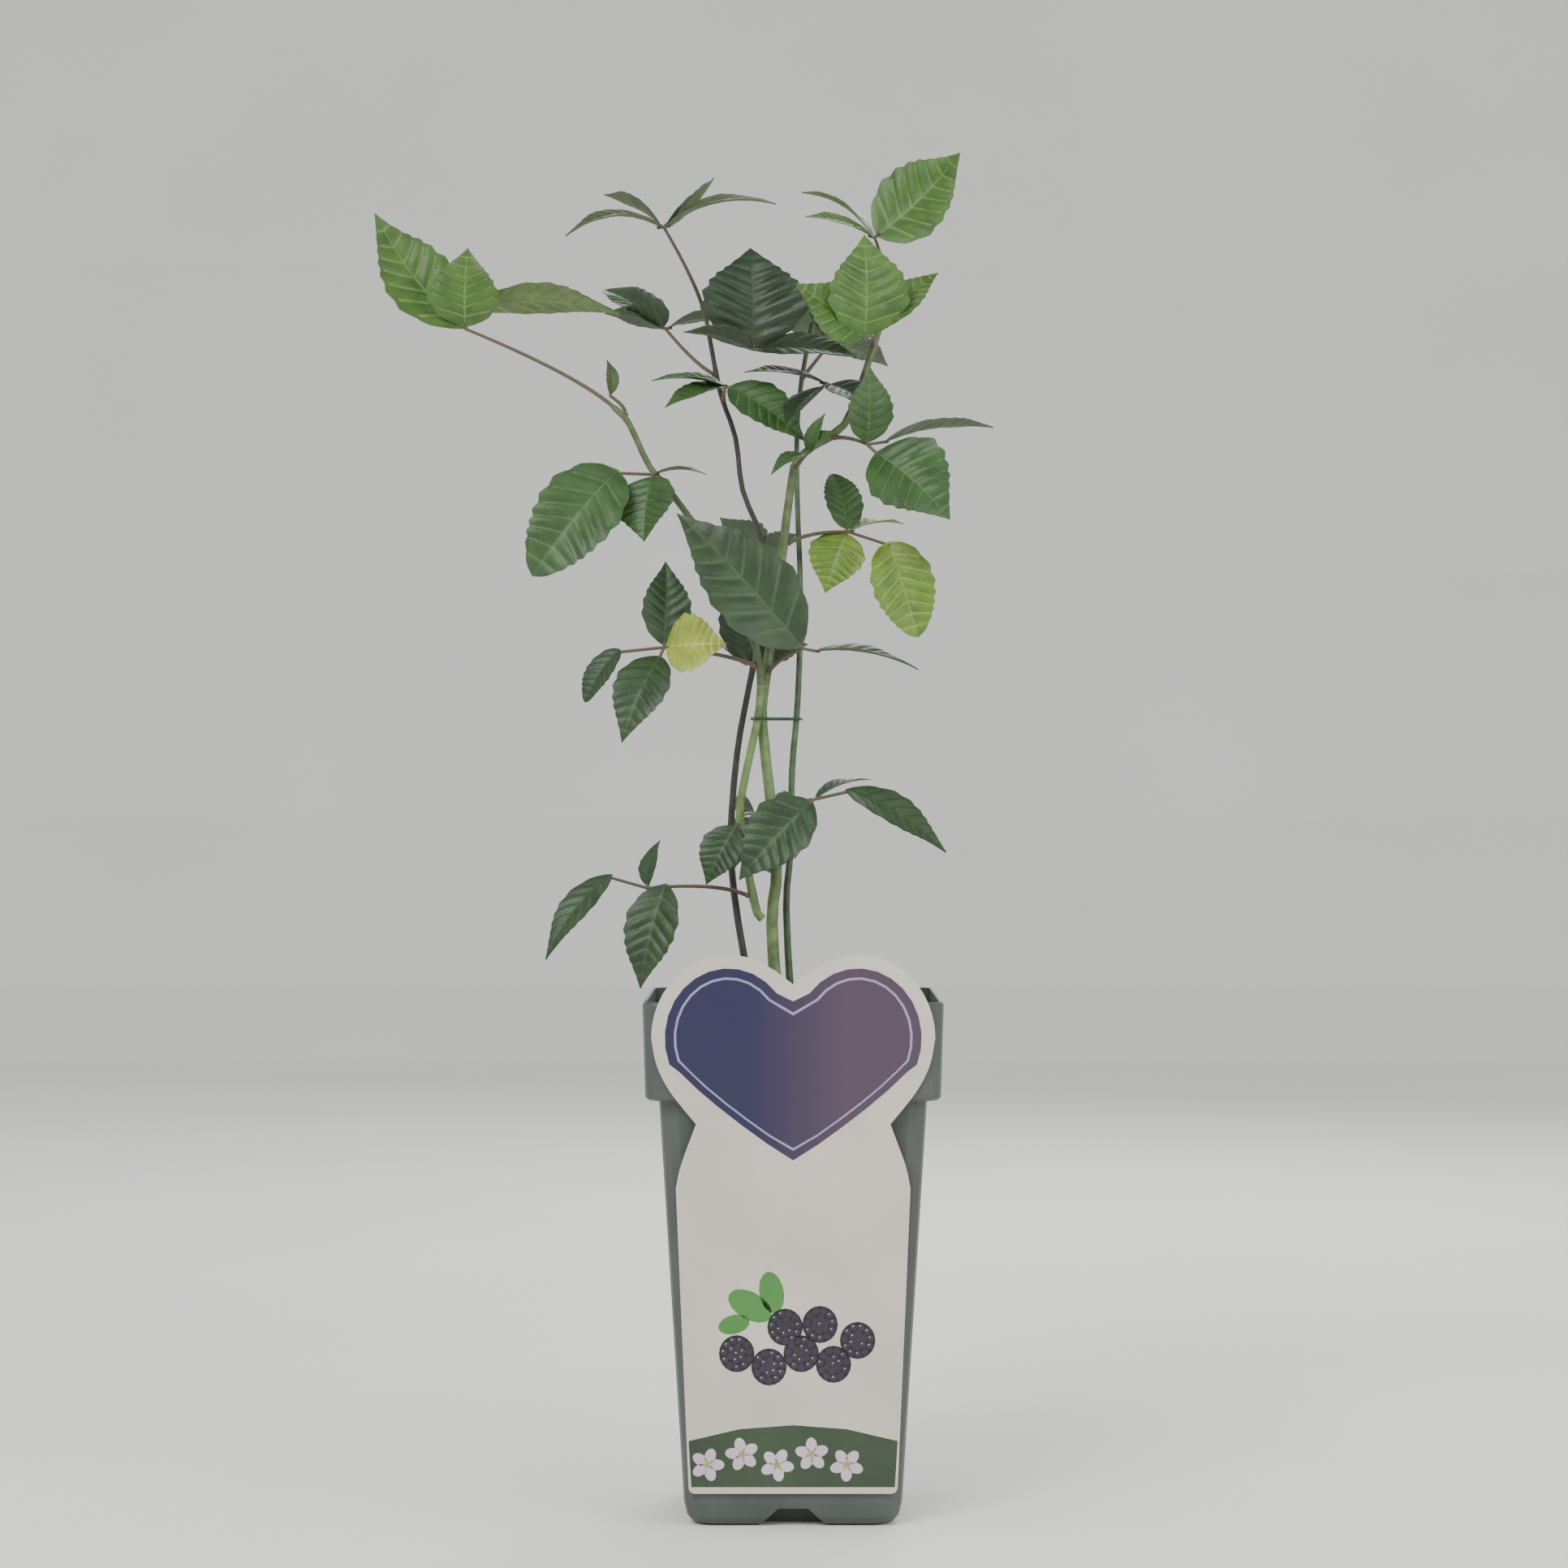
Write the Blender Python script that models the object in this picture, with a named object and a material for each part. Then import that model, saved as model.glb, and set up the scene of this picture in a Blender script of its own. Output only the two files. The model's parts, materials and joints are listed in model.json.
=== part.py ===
"""A young thornless bramble in a tall square nursery pot.

Four canes rise from the compost, pass a wire tie and go on as shoots. Each compound leaf is one
piece: a stalk, its small side stalks and its leaflets. All sizes are in millimetres, and each
mesh is made in metres. Z is up, the front of the pot faces -Y, and the origin is the centre of
the flat under the pot.
"""

import math
import random

import bmesh
import bpy
from mathutils import Vector

MM = 0.001
GAP = 0.3  # clear distance between pieces that touch
WELD = 0.004  # points nearer than this are one point

# Places on the plant are given as they look to an eye in front of the pot.
EYE_DISTANCE = 1500.0
EYE_HEIGHT = 278.0
EYE_ACROSS = -3.4

POT_HEIGHT = 197.0
POT_WALL = 1.6
POT_FLOOR = 1.8
POT_CORNER = 7.0  # radius of the upright corners
POT_CORNER_STEPS = 3
FOOT_HALF = 35.0  # half width of the flat that the pot stands on
HEEL_HALF = 41.0  # half width above the rounded bottom edge
HEEL_HEIGHT = 9.0
NECK_HALF = 50.0  # half width just under the collar
COLLAR_BOTTOM = 160.5
COLLAR_HALF = 55.0
RIM_HALF = 56.0
RIM_ROUND = 1.2
WINDOW_HALF = 47.0  # the shallow recess for a card in the collar's front
WINDOW_BOTTOM = 167.0
WINDOW_TOP = 188.0
WINDOW_DEPTH = 0.8
ARCH_HALF_LOW = 12.8  # the drain arch in the middle of each side's foot
ARCH_HALF_HIGH = 5.6
ARCH_HEIGHT = 7.0
ARCH_REACH = 28.5  # how near the pot's centre the arch comes
DRAIN_RADIUS = 3.5
DRAIN_OFFSET = 15.0

COMPOST_BOTTOM = ARCH_HEIGHT + POT_WALL + GAP
COMPOST_TOP = 180.0

CARD_THICKNESS = 0.7
CARD_TOP = 215.0
CARD_NOTCH = 204.0  # where the heart's two lobes meet
CARD_BOTTOM = 13.0
HEART_HALF = 52.5
HEART_WIDEST = 184.0
LOBE_CENTRE = 24.0
WAIST_HALF = 36.0
WAIST_HEIGHT = 152.0
SHOULDER_HALF = 43.5
SHOULDER_HEIGHT = 128.0
HEM_HALF = 39.0
CARD_LEAN = math.radians(5.0)
HOOK_HALF = 11.0
HOOK_DROP = 12.0
HOOK_THICKNESS = 0.8

TIE_HEIGHT = 303.0
TIE_WIRE = 0.55  # radius
SPLIT_HEIGHT = 316.0  # above the tie a cane goes on as a shoot

FLARE = 0.8  # how much thicker a cane is where it leaves the compost
FLARE_HEIGHT = 6.0
PETIOLE_RADIUS = 0.85
STALK_RADIUS = 0.6
STALK_SHORT = 2.2
KNUCKLE_RADIUS = 1.1
ROOT_SUNK = 1.6  # how far a blade starts back inside its stalk
BLADE_THICKNESS = 0.02  # of the blade's length
BLADE_THINNEST = 0.6
BLADE_FOLD = 0.22  # how far the wings rise for each millimetre of half width
BLADE_STATIONS = 8
TOOTH = 0.05  # how far the teeth swing the half width
SEED = 7

COLOURS = {
    "pot": (0.105, 0.125, 0.115),
    "compost": (0.03, 0.02, 0.014),
    "card": (0.62, 0.58, 0.52),
    "tie": (0.03, 0.13, 0.08),
    "stem": (0.07, 0.11, 0.035),
    "leaf": (0.035, 0.09, 0.025),
}


def placed(across, up, back):
    """The point in space of a place seen from the front, pushed back along the line of sight."""
    scale = (EYE_DISTANCE + back) / EYE_DISTANCE
    x = EYE_ACROSS + (across - EYE_ACROSS) * scale
    return Vector((x, back, EYE_HEIGHT + (up - EYE_HEIGHT) * scale))


def leaflet(turn, length, width, back=0, facing=30, stalk=STALK_SHORT, stalk_turn=None, arch=2, blunt=False):
    """One leaflet. turn is its angle seen from the front, 0 to the right and 90 up. facing 0 looks to
    the front, 90 up and 180 to the back, and arch lifts the middle of the midrib."""
    return dict(locals())


# Each stem: a cane below the tie, the shoot that goes on above it, its radii at foot and tip, and
# the places that it runs through as (across, up, back).
STEMS = [
    dict(
        cane="cane_main", shoot="shoot_right", parent=None, foot_radius=2.5, tip_radius=1.3,
        route=[(-5, COMPOST_TOP + GAP, 0), (-8, 224, 0), (-6.2, 249, 0), (-11.5, 299, 0.8),
               (-10.6, 317, 1), (-5.3, 355, -1), (-1.2, 389, -3), (3, 404, -3), (19.7, 416, 0),
               (29, 440, 5), (35.3, 460, 8)],
    ),
    dict(
        cane="cane_left", shoot="shoot_centre", parent=None, foot_radius=1.5, tip_radius=0.9,
        route=[(-13, COMPOST_TOP + GAP, 6), (-21, 225, 5), (-23.8, 255, 5), (-21.5, 289, 4),
               (-16.5, 317, 4), (-10, 350, 8), (-12, 372, 10), (-19.3, 391, 10), (-22, 411, 10),
               (-28, 429, 9), (-32.8, 454, 8)],
    ),
    dict(
        cane="cane_right", shoot="shoot_back", parent=None, foot_radius=1.5, tip_radius=0.9,
        route=[(0, COMPOST_TOP + GAP, 7), (-2.5, 230, 5), (-0.9, 252, 4), (-0.3, 283, 2),
               (1.9, 310, 1), (3, 349, 6), (1.6, 392, 9), (2.2, 424, 9), (7.2, 455, 10)],
    ),
    dict(
        cane="cane_branch", shoot="shoot_left", parent=("cane_main", 226), foot_radius=1.7,
        tip_radius=1.2,
        route=[(-16.2, 239.5, -2), (-20.3, 265, -3.5), (-17.8, 283, -4), (-12.8, 308, -4.4),
               (-14, 330, -9), (-26, 360, -12), (-46, 389, -11), (-55, 400, -10),
               (-63, 416.7, -9), (-68.6, 422.6, -8)],
    ),
]

# Each compound leaf: the stem that carries it, the height of its foot there (None at the stem's
# tip), the place where its leaflets meet, and its leaflets.
LEAVES = {
    "leaf_far_left": dict(
        stem="shoot_left", foot=None, joint=(-126, 453, -4),
        leaflets=[
            leaflet(128, 56, 30, back=6, facing=28, arch=-7),
            leaflet(88, 31, 28, back=-7, facing=10),
            leaflet(358, 55, 17, back=2, facing=125, stalk=9, stalk_turn=60, arch=5),
        ],
    ),
    "leaf_upper_left": dict(
        stem="shoot_centre", foot=437, joint=(-49, 453, 22),
        leaflets=[
            leaflet(148, 28, 22, back=12, facing=55, blunt=True),
            leaflet(166, 24, 15, back=-6, facing=118),
            leaflet(8, 22, 14, back=20, facing=100),
        ],
    ),
    "leaf_top": dict(
        stem="shoot_centre", foot=None, joint=(-49.6, 492, -12),
        leaflets=[
            leaflet(185, 38, 16, back=-12, facing=72, arch=6),
            leaflet(151, 26, 13, back=26, facing=100, arch=2),
            leaflet(45, 27, 13, back=24, facing=100, arch=-2),
            leaflet(12, 44, 16, back=-8, facing=75, arch=5),
        ],
    ),
    "leaf_crown": dict(
        stem="shoot_back", foot=446, joint=(-15, 445, -4),
        leaflets=[
            leaflet(92, 39, 41, back=6, facing=8, arch=3),
            leaflet(356, 40, 20, back=-14, facing=60),
            leaflet(166, 28, 17, back=-8, facing=105),
        ],
    ),
    "leaf_under_crown": dict(
        stem="shoot_back", foot=424, joint=(13, 432, 0),
        leaflets=[
            leaflet(226, 23, 15, back=-25, facing=60),
            leaflet(330, 24, 18, back=-16, facing=50),
            leaflet(172, 32, 14, back=-10, facing=75),
        ],
    ),
    "leaf_centre": dict(
        stem="shoot_centre", foot=427, joint=(-25.5, 431, -2),
        leaflets=[
            leaflet(176, 29, 13, back=-5, facing=75),
            leaflet(199, 25, 13, back=-15, facing=58),
            leaflet(325, 37, 20, back=-8, facing=32, arch=3),
        ],
    ),
    "leaf_top_right": dict(
        stem="shoot_right", foot=None, joint=(31.5, 488, 4),
        leaflets=[
            leaflet(45, 46, 31, back=-10, facing=22, arch=-4),
            leaflet(148, 33, 12, back=24, facing=82, arch=4),
            leaflet(163, 28, 13, back=-14, facing=68),
        ],
    ),
    "leaf_right_upper": dict(
        stem="shoot_right", foot=447, joint=(27.5, 449, -10),
        leaflets=[
            leaflet(90, 40, 32, back=-4, facing=16, arch=3),
            leaflet(141, 34, 22, back=-12, facing=22),
            leaflet(42, 38, 15, back=10, facing=30, stalk=7),
        ],
    ),
    "leaf_right": dict(
        stem="shoot_right", foot=412, joint=(28.5, 408.5, -12),
        leaflets=[
            leaflet(88, 30, 18, back=-7, facing=14),
            leaflet(318, 43, 33, back=-12, facing=18, stalk=6, arch=4),
            leaflet(8, 49, 16, back=14, facing=98, stalk=8, arch=3),
        ],
    ),
    "leaf_tip_buds": dict(
        stem="shoot_right", foot=400, joint=(5.5, 405, -13),
        leaflets=[
            leaflet(210, 16, 9, back=-3, facing=58),
            leaflet(66, 17, 6, back=-5, facing=25),
            leaflet(38, 14, 7, back=-8, facing=60),
        ],
    ),
    "leaf_light": dict(
        stem="shoot_right", foot=371, joint=(21, 375, 6),
        leaflets=[
            leaflet(104, 23, 16, back=8, facing=26, blunt=True),
            leaflet(250, 25, 22, back=-5, facing=12),
            leaflet(8, 22, 13, back=10, facing=80),
            leaflet(287, 37, 24, back=-6, facing=8, stalk=17, stalk_turn=342, blunt=True),
        ],
    ),
    "leaf_left": dict(
        stem="shoot_left", foot=393, joint=(-54, 397, -19),
        leaflets=[
            leaflet(231, 51, 31, back=-14, facing=12, stalk=14, stalk_turn=178, arch=5, blunt=True),
            leaflet(263, 26, 26, back=-10, facing=28),
            leaflet(0, 21, 11, back=-3, facing=84),
        ],
    ),
    "leaf_front": dict(
        stem="shoot_right", foot=322, joint=(4, 330, -27),
        leaflets=[
            leaflet(133, 71, 33, back=-4, facing=12, arch=5),
            leaflet(350, 45, 14, back=6, facing=80, stalk=6, arch=3),
        ],
    ),
    "leaf_yellow": dict(
        stem="shoot_left", foot=324, joint=(-49.5, 330.5, -22),
        leaflets=[
            leaflet(89, 33, 19, back=4, facing=14),
            leaflet(3, 24, 23, back=-8, facing=16),
            leaflet(246, 40, 21, back=-14, facing=18, stalk=5, arch=4),
            leaflet(237, 23, 12, back=-4, facing=38, stalk=18, stalk_turn=186, blunt=True),
        ],
    ),
    "leaf_dark": dict(
        stem="shoot_centre", foot=323, joint=(-18, 324, 18),
        leaflets=[
            leaflet(98, 34, 18, back=5, facing=8),
            leaflet(18, 25, 15, back=8, facing=40),
            leaflet(150, 16, 11, back=16, facing=70),
        ],
    ),
    "leaf_low_right": dict(
        stem="cane_right", foot=268, joint=(8, 272, -17),
        leaflets=[
            leaflet(227, 42, 25, back=-4, facing=18, arch=3),
            leaflet(20, 23, 12, back=8, facing=80),
            leaflet(328, 44, 15, back=-14, facing=42, stalk=14, stalk_turn=13, arch=4),
        ],
    ),
    "leaf_low_centre": dict(
        stem="cane_branch", foot=262, joint=(-21.5, 262.5, -9.5),
        leaflets=[
            leaflet(243, 26, 17, back=-1, facing=20),
            leaflet(306, 24, 13, back=-2, facing=10),
        ],
    ),
    "leaf_low_left": dict(
        stem="cane_branch", foot=236, joint=(-56, 238, -14),
        leaflets=[
            leaflet(232, 40, 14, back=-14, facing=42, stalk=15, stalk_turn=164, arch=4),
            leaflet(75, 19, 9, back=8, facing=48),
            leaflet(256, 40, 21, back=-6, facing=18, stalk=7, stalk_turn=2, arch=4),
        ],
    ),
    "leaf_bud_left": dict(
        stem="shoot_left", foot=419, joint=(-70, 427, -4),
        leaflets=[leaflet(96, 14, 6, back=2, facing=40)],
    ),
    "leaf_back_high": dict(
        stem="shoot_back", foot=436, joint=(14, 447, 36),
        leaflets=[
            leaflet(76, 28, 22, back=24, facing=150, arch=3),
            leaflet(152, 25, 15, back=22, facing=130),
            leaflet(340, 24, 16, back=24, facing=120),
        ],
    ),
    "leaf_back_mid": dict(
        stem="shoot_centre", foot=352, joint=(-15, 360, 38),
        leaflets=[
            leaflet(122, 24, 24, back=30, facing=150, arch=3),
            leaflet(40, 22, 15, back=26, facing=130),
            leaflet(290, 22, 16, back=26, facing=160),
        ],
    ),
    "leaf_back_low": dict(
        stem="cane_left", foot=262, joint=(-13, 266, 36),
        leaflets=[
            leaflet(245, 22, 17, back=28, facing=160, arch=3),
            leaflet(15, 18, 13, back=26, facing=130),
            leaflet(165, 12, 12, back=24, facing=130),
        ],
    ),
}


def clear_scene():
    for obj in list(bpy.data.objects):
        bpy.data.objects.remove(obj, do_unlink=True)


def material(name, colour, roughness, metallic=0.0):
    made = bpy.data.materials.new(name)
    made.use_nodes = True
    shader = made.node_tree.nodes["Principled BSDF"]
    shader.inputs["Base Color"].default_value = (*colour, 1)
    shader.inputs["Roughness"].default_value = roughness
    shader.inputs["Metallic"].default_value = metallic
    return made


def mesh_object(name, bm, finish=None, collection=None):
    """An object from a bmesh whose places are in millimetres."""
    bmesh.ops.scale(bm, vec=(MM, MM, MM), verts=bm.verts)
    bmesh.ops.recalc_face_normals(bm, faces=bm.faces)
    mesh = bpy.data.meshes.new(name)
    bm.to_mesh(mesh)
    bm.free()
    obj = bpy.data.objects.new(name, mesh)
    (collection or bpy.context.scene.collection).objects.link(obj)
    if finish:
        mesh.materials.append(finish)
        mesh.shade_smooth()
        mesh.set_sharp_from_angle(angle=math.radians(35))
    return obj


def loft(rings):
    """A closed bmesh through rings of points, with flat ends. A last ring of one point is a tip."""
    bm = bmesh.new()
    loops = [[bm.verts.new(point) for point in ring] for ring in rings]
    count = len(loops[0])
    for lower, upper in zip(loops, loops[1:]):
        for i in range(count):
            j = (i + 1) % count
            if len(upper) == 1:
                bm.faces.new((lower[i], lower[j], upper[0]))
            else:
                bm.faces.new((lower[i], lower[j], upper[j], upper[i]))
    bm.faces.new(loops[0])
    if len(loops[-1]) > 1:
        bm.faces.new(loops[-1])
    return bm


def rounded_square(half, corner, z):
    points = []
    for quarter in range(4):
        for step in range(POT_CORNER_STEPS + 1):
            angle = math.radians(90 * (quarter + step / POT_CORNER_STEPS))
            middle = math.radians(90 * quarter + 45)
            reach = (half - corner) * math.sqrt(2)
            points.append(Vector((
                reach * math.cos(middle) + corner * math.cos(angle),
                reach * math.sin(middle) + corner * math.sin(angle),
                z,
            )))
    return points


def drop_scrap(bm):
    """Keeps the largest connected piece, so no crumb and no sealed hollow stays."""
    left, pieces = set(bm.faces), []
    while left:
        piece, edge = set(), [left.pop()]
        while edge:
            face = edge.pop()
            piece.add(face)
            for neighbour in {other for side in face.edges for other in side.link_faces}:
                if neighbour in left:
                    left.discard(neighbour)
                    edge.append(neighbour)
        pieces.append(piece)
    largest = max(pieces, key=len)
    scrap = [face for piece in pieces if piece is not largest for face in piece]
    bmesh.ops.delete(bm, geom=scrap, context="FACES")


def cleaned(mesh):
    """Welds a Boolean's result, keeps its one body, and says whether it is closed."""
    bm = bmesh.new()
    bm.from_mesh(mesh)
    bmesh.ops.triangulate(bm, faces=bm.faces)
    bmesh.ops.remove_doubles(bm, verts=bm.verts, dist=WELD * MM)
    bmesh.ops.dissolve_degenerate(bm, edges=bm.edges, dist=WELD * MM)
    drop_scrap(bm)
    bm.to_mesh(mesh)
    closed = all(len(edge.link_faces) == 2 for edge in bm.edges)
    bm.free()
    return closed


def join(target, others, operation):
    """Applies one Boolean on a collection to the target, and removes the collection's objects."""
    group = bpy.data.collections.new(target.name + "_operands")
    bpy.context.scene.collection.children.link(group)
    for other in others:
        for owner in list(other.users_collection):
            owner.objects.unlink(other)
        group.objects.link(other)
    boolean = target.modifiers.new("join", "BOOLEAN")
    boolean.operation = operation
    boolean.operand_type = "COLLECTION"
    boolean.collection = group
    for solver in ("EXACT", "MANIFOLD"):
        boolean.solver = solver
        graph = bpy.context.evaluated_depsgraph_get()
        joined = bpy.data.meshes.new_from_object(target.evaluated_get(graph))
        if cleaned(joined):
            break
    target.modifiers.remove(boolean)
    target.data = joined
    for other in others:
        bpy.data.objects.remove(other, do_unlink=True)
    bpy.data.collections.remove(group)


def pot_half(z):
    """The pot's outer half width at a height under the collar."""
    if z >= HEEL_HEIGHT:
        share = (z - HEEL_HEIGHT) / (COLLAR_BOTTOM - HEEL_HEIGHT)
        return HEEL_HALF + (NECK_HALF - HEEL_HALF) * share
    share = 1 - z / HEEL_HEIGHT
    return FOOT_HALF + (HEEL_HALF - FOOT_HALF) * math.sqrt(1 - share * share)


def quarter_turned(points, quarter):
    """Points drawn on the front side, turned to another side of the pot."""
    cos, sin = round(math.cos(quarter * math.pi / 2)), round(math.sin(quarter * math.pi / 2))
    return [Vector((p.x * cos - p.y * sin, p.x * sin + p.y * cos, p.z)) for p in points]


def arch_half(z):
    return ARCH_HALF_LOW + (ARCH_HALF_HIGH - ARCH_HALF_LOW) * z / ARCH_HEIGHT


def box_ring(half_x, near_y, far_y, z):
    return [Vector((-half_x, near_y, z)), Vector((half_x, near_y, z)),
            Vector((half_x, far_y, z)), Vector((-half_x, far_y, z))]


def make_pot():
    plastic = material("pot_plastic", COLOURS["pot"], 0.5)
    outer = [rounded_square(pot_half(z), POT_CORNER, z) for z in (0, 1.0, 3.5, HEEL_HEIGHT)]
    outer.append(rounded_square(NECK_HALF, POT_CORNER, COLLAR_BOTTOM))
    outer.append(rounded_square(COLLAR_HALF - 1, POT_CORNER, COLLAR_BOTTOM))
    outer.append(rounded_square(COLLAR_HALF, POT_CORNER, COLLAR_BOTTOM + 1))
    outer.append(rounded_square(RIM_HALF, POT_CORNER, POT_HEIGHT - RIM_ROUND))
    outer.append(rounded_square(RIM_HALF - RIM_ROUND / 2, POT_CORNER, POT_HEIGHT))
    corner = POT_CORNER - POT_WALL
    inner = [
        rounded_square(RIM_HALF - POT_WALL, corner, POT_HEIGHT),
        rounded_square(COLLAR_HALF - POT_WALL, corner, COLLAR_BOTTOM + 1 + POT_WALL),
        rounded_square(NECK_HALF - POT_WALL, corner, COLLAR_BOTTOM + POT_WALL),
        rounded_square(HEEL_HALF - POT_WALL, corner, HEEL_HEIGHT),
        rounded_square(pot_half(2.5) - POT_WALL, corner, 2.5 + POT_WALL / 2),
        rounded_square(FOOT_HALF - POT_WALL, corner, POT_FLOOR),
    ]
    pot = mesh_object("pot", loft(outer + inner), plastic)
    housings, cutters = [], []
    for quarter in range(4):
        rings = [
            box_ring(arch_half(z) + POT_WALL, 0.4 - pot_half(z), POT_WALL - ARCH_REACH, z)
            for z in (0.1, 1.0, 3.5, ARCH_HEIGHT + POT_WALL)
        ]
        housings.append(mesh_object(f"housing_{quarter}", loft([quarter_turned(r, quarter) for r in rings])))
        rings = [box_ring(arch_half(z), -HEEL_HALF - 5, -ARCH_REACH, z) for z in (-1, ARCH_HEIGHT)]
        cutters.append(mesh_object(f"arch_{quarter}", loft([quarter_turned(r, quarter) for r in rings])))
        drain = bmesh.new()
        bmesh.ops.create_cone(
            drain, cap_ends=True, segments=10, radius1=DRAIN_RADIUS, radius2=DRAIN_RADIUS, depth=8,
        )
        corner_x, corner_y = ((1, 1), (-1, 1), (-1, -1), (1, -1))[quarter]
        bmesh.ops.translate(drain, vec=(corner_x * DRAIN_OFFSET, corner_y * DRAIN_OFFSET, 0), verts=drain.verts)
        cutters.append(mesh_object(f"drain_{quarter}", drain))
    front = -COLLAR_HALF - 3
    window = [
        box_ring(WINDOW_HALF, front, -COLLAR_HALF + WINDOW_DEPTH - slope, z)
        for z, slope in ((WINDOW_BOTTOM, 0.2), (WINDOW_TOP, 0.8))
    ]
    cutters.append(mesh_object("window", loft(window)))
    join(pot, housings, "UNION")
    join(pot, cutters, "DIFFERENCE")
    return pot


def make_compost():
    peat = material("peat", COLOURS["compost"], 0.95)
    side = POT_WALL + GAP
    corner = POT_CORNER - side
    rings = [
        rounded_square(pot_half(HEEL_HEIGHT) - side, corner, COMPOST_BOTTOM),
        rounded_square(NECK_HALF - side - 0.1, corner, COLLAR_BOTTOM),
        rounded_square(NECK_HALF - side - 0.1, corner, COLLAR_BOTTOM + 4),
        rounded_square(COLLAR_HALF - side - 1, corner, COLLAR_BOTTOM + 6),
        rounded_square(COLLAR_HALF - side - 0.6, corner, COMPOST_TOP - 3),
        rounded_square(COLLAR_HALF - side - 6, corner, COMPOST_TOP),
    ]
    mesh_object("compost", loft(rings), peat)


def card_outline():
    """The card's right half from the notch down to the middle of its hem, then its mirror image."""
    half = []
    lobe_height = CARD_TOP - HEART_WIDEST
    for step in range(5):
        angle = math.radians(128 - 32 * step)
        half.append((
            LOBE_CENTRE + (HEART_HALF - LOBE_CENTRE) * math.cos(angle),
            HEART_WIDEST + lobe_height * math.sin(max(angle, 0.0)),
        ))
    half[0] = (6.5, CARD_NOTCH + 5)
    half.append((HEART_HALF - 2, HEART_WIDEST - 10))
    half.append((HEART_HALF - 7, HEART_WIDEST - 20))
    half.append((WAIST_HALF, WAIST_HEIGHT))
    half.append((SHOULDER_HALF - 2, SHOULDER_HEIGHT + 9))
    half.append((SHOULDER_HALF, SHOULDER_HEIGHT))
    half.append((HEM_HALF, CARD_BOTTOM + 2))
    half.append((HEM_HALF - 2, CARD_BOTTOM))
    notch = [(0.0, CARD_NOTCH)]
    return notch + half + [(-x, z) for x, z in reversed(half)]


def card_front(z):
    """The y of the card's back face at a height: it leans out, just clear of the collar's lower edge."""
    return -COLLAR_HALF - GAP - (z - COLLAR_BOTTOM - 1) * math.tan(CARD_LEAN)


def make_card():
    print_card = material("printed_card", COLOURS["card"], 0.45)
    rings = [
        [Vector((x, card_front(z) - depth, z)) for x, z in card_outline()]
        for depth in (0.0, CARD_THICKNESS)
    ]
    card = mesh_object("care_card", loft(rings), print_card)
    hook_base = POT_HEIGHT + GAP
    inside = -(COLLAR_HALF - POT_WALL)
    back = card_front(hook_base) - CARD_THICKNESS / 2
    profile = [
        (back, hook_base), (inside, hook_base), (inside, hook_base - HOOK_DROP),
        (inside + HOOK_THICKNESS, hook_base - HOOK_DROP),
        (inside + HOOK_THICKNESS, hook_base + HOOK_THICKNESS), (back, hook_base + HOOK_THICKNESS),
    ]
    hook = mesh_object("hook", loft([[Vector((x, y, z)) for y, z in profile] for x in (-HOOK_HALF, HOOK_HALF)]))
    join(card, [hook], "UNION")


def smooth(points, steps=3):
    """A Catmull-Rom curve through the points."""
    ends = [2 * points[0] - points[1], *points, 2 * points[-1] - points[-2]]
    curve = []
    for a, b, c, d in zip(ends, ends[1:], ends[2:], ends[3:]):
        for step in range(steps):
            t = step / steps
            curve.append(0.5 * (
                2 * b + (c - a) * t + (2 * a - 5 * b + 4 * c - d) * t * t
                + (3 * b - a - 3 * c + d) * t * t * t
            ))
    return curve + [points[-1]]


def tube(name, path, radii, sides_level, finish):
    """A tapering round limb along a path, as a curve with filled ends."""
    curve = bpy.data.curves.new(name, "CURVE")
    curve.dimensions = "3D"
    curve.bevel_depth = MM
    curve.bevel_resolution = sides_level
    curve.use_fill_caps = True
    spline = curve.splines.new("POLY")
    spline.points.add(len(path) - 1)
    for point, place, radius in zip(spline.points, path, radii):
        point.co = (*(place * MM), 1)
        point.radius = radius
    obj = bpy.data.objects.new(name, curve)
    bpy.context.scene.collection.objects.link(obj)
    if finish:
        curve.materials.append(finish)
    return obj


def to_mesh_object(obj):
    """The curve object as a welded mesh object of the same name."""
    graph = bpy.context.evaluated_depsgraph_get()
    mesh = bpy.data.meshes.new_from_object(obj.evaluated_get(graph))
    name = obj.name
    curve = obj.data
    bpy.data.objects.remove(obj, do_unlink=True)
    bpy.data.curves.remove(curve)
    bm = bmesh.new()
    bm.from_mesh(mesh)
    bmesh.ops.remove_doubles(bm, verts=bm.verts, dist=0.001 * MM)
    bmesh.ops.recalc_face_normals(bm, faces=bm.faces)
    bm.to_mesh(mesh)
    bm.free()
    made = bpy.data.objects.new(name, mesh)
    bpy.context.scene.collection.objects.link(made)
    return made


def cut_at(path, radii, height, above):
    """The part of a rising path above or below a height, with a point on the cut."""
    for i, (a, b) in enumerate(zip(path, path[1:])):
        if a.z <= height < b.z:
            share = (height - a.z) / (b.z - a.z)
            place, radius = a.lerp(b, share), radii[i] + (radii[i + 1] - radii[i]) * share
            if above:
                return [place] + path[i + 1:], [radius] + radii[i + 1:]
            return path[:i + 1] + [place], radii[:i + 1] + [radius]
    raise ValueError(f"no point of the path is at height {height}")


class Limb:
    """A cane or a shoot: its path and the radius at each of its points."""

    def __init__(self, path, radii):
        self.path, self.radii = path, radii

    def at(self, height):
        """The axis point, direction and radius at a height, or at the tip for None."""
        if height is None:
            return self.path[-1], (self.path[-1] - self.path[-2]).normalized(), self.radii[-1]
        upper, radii = cut_at(self.path, self.radii, height, above=True)
        return upper[0], (upper[1] - upper[0]).normalized(), radii[0]


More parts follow.
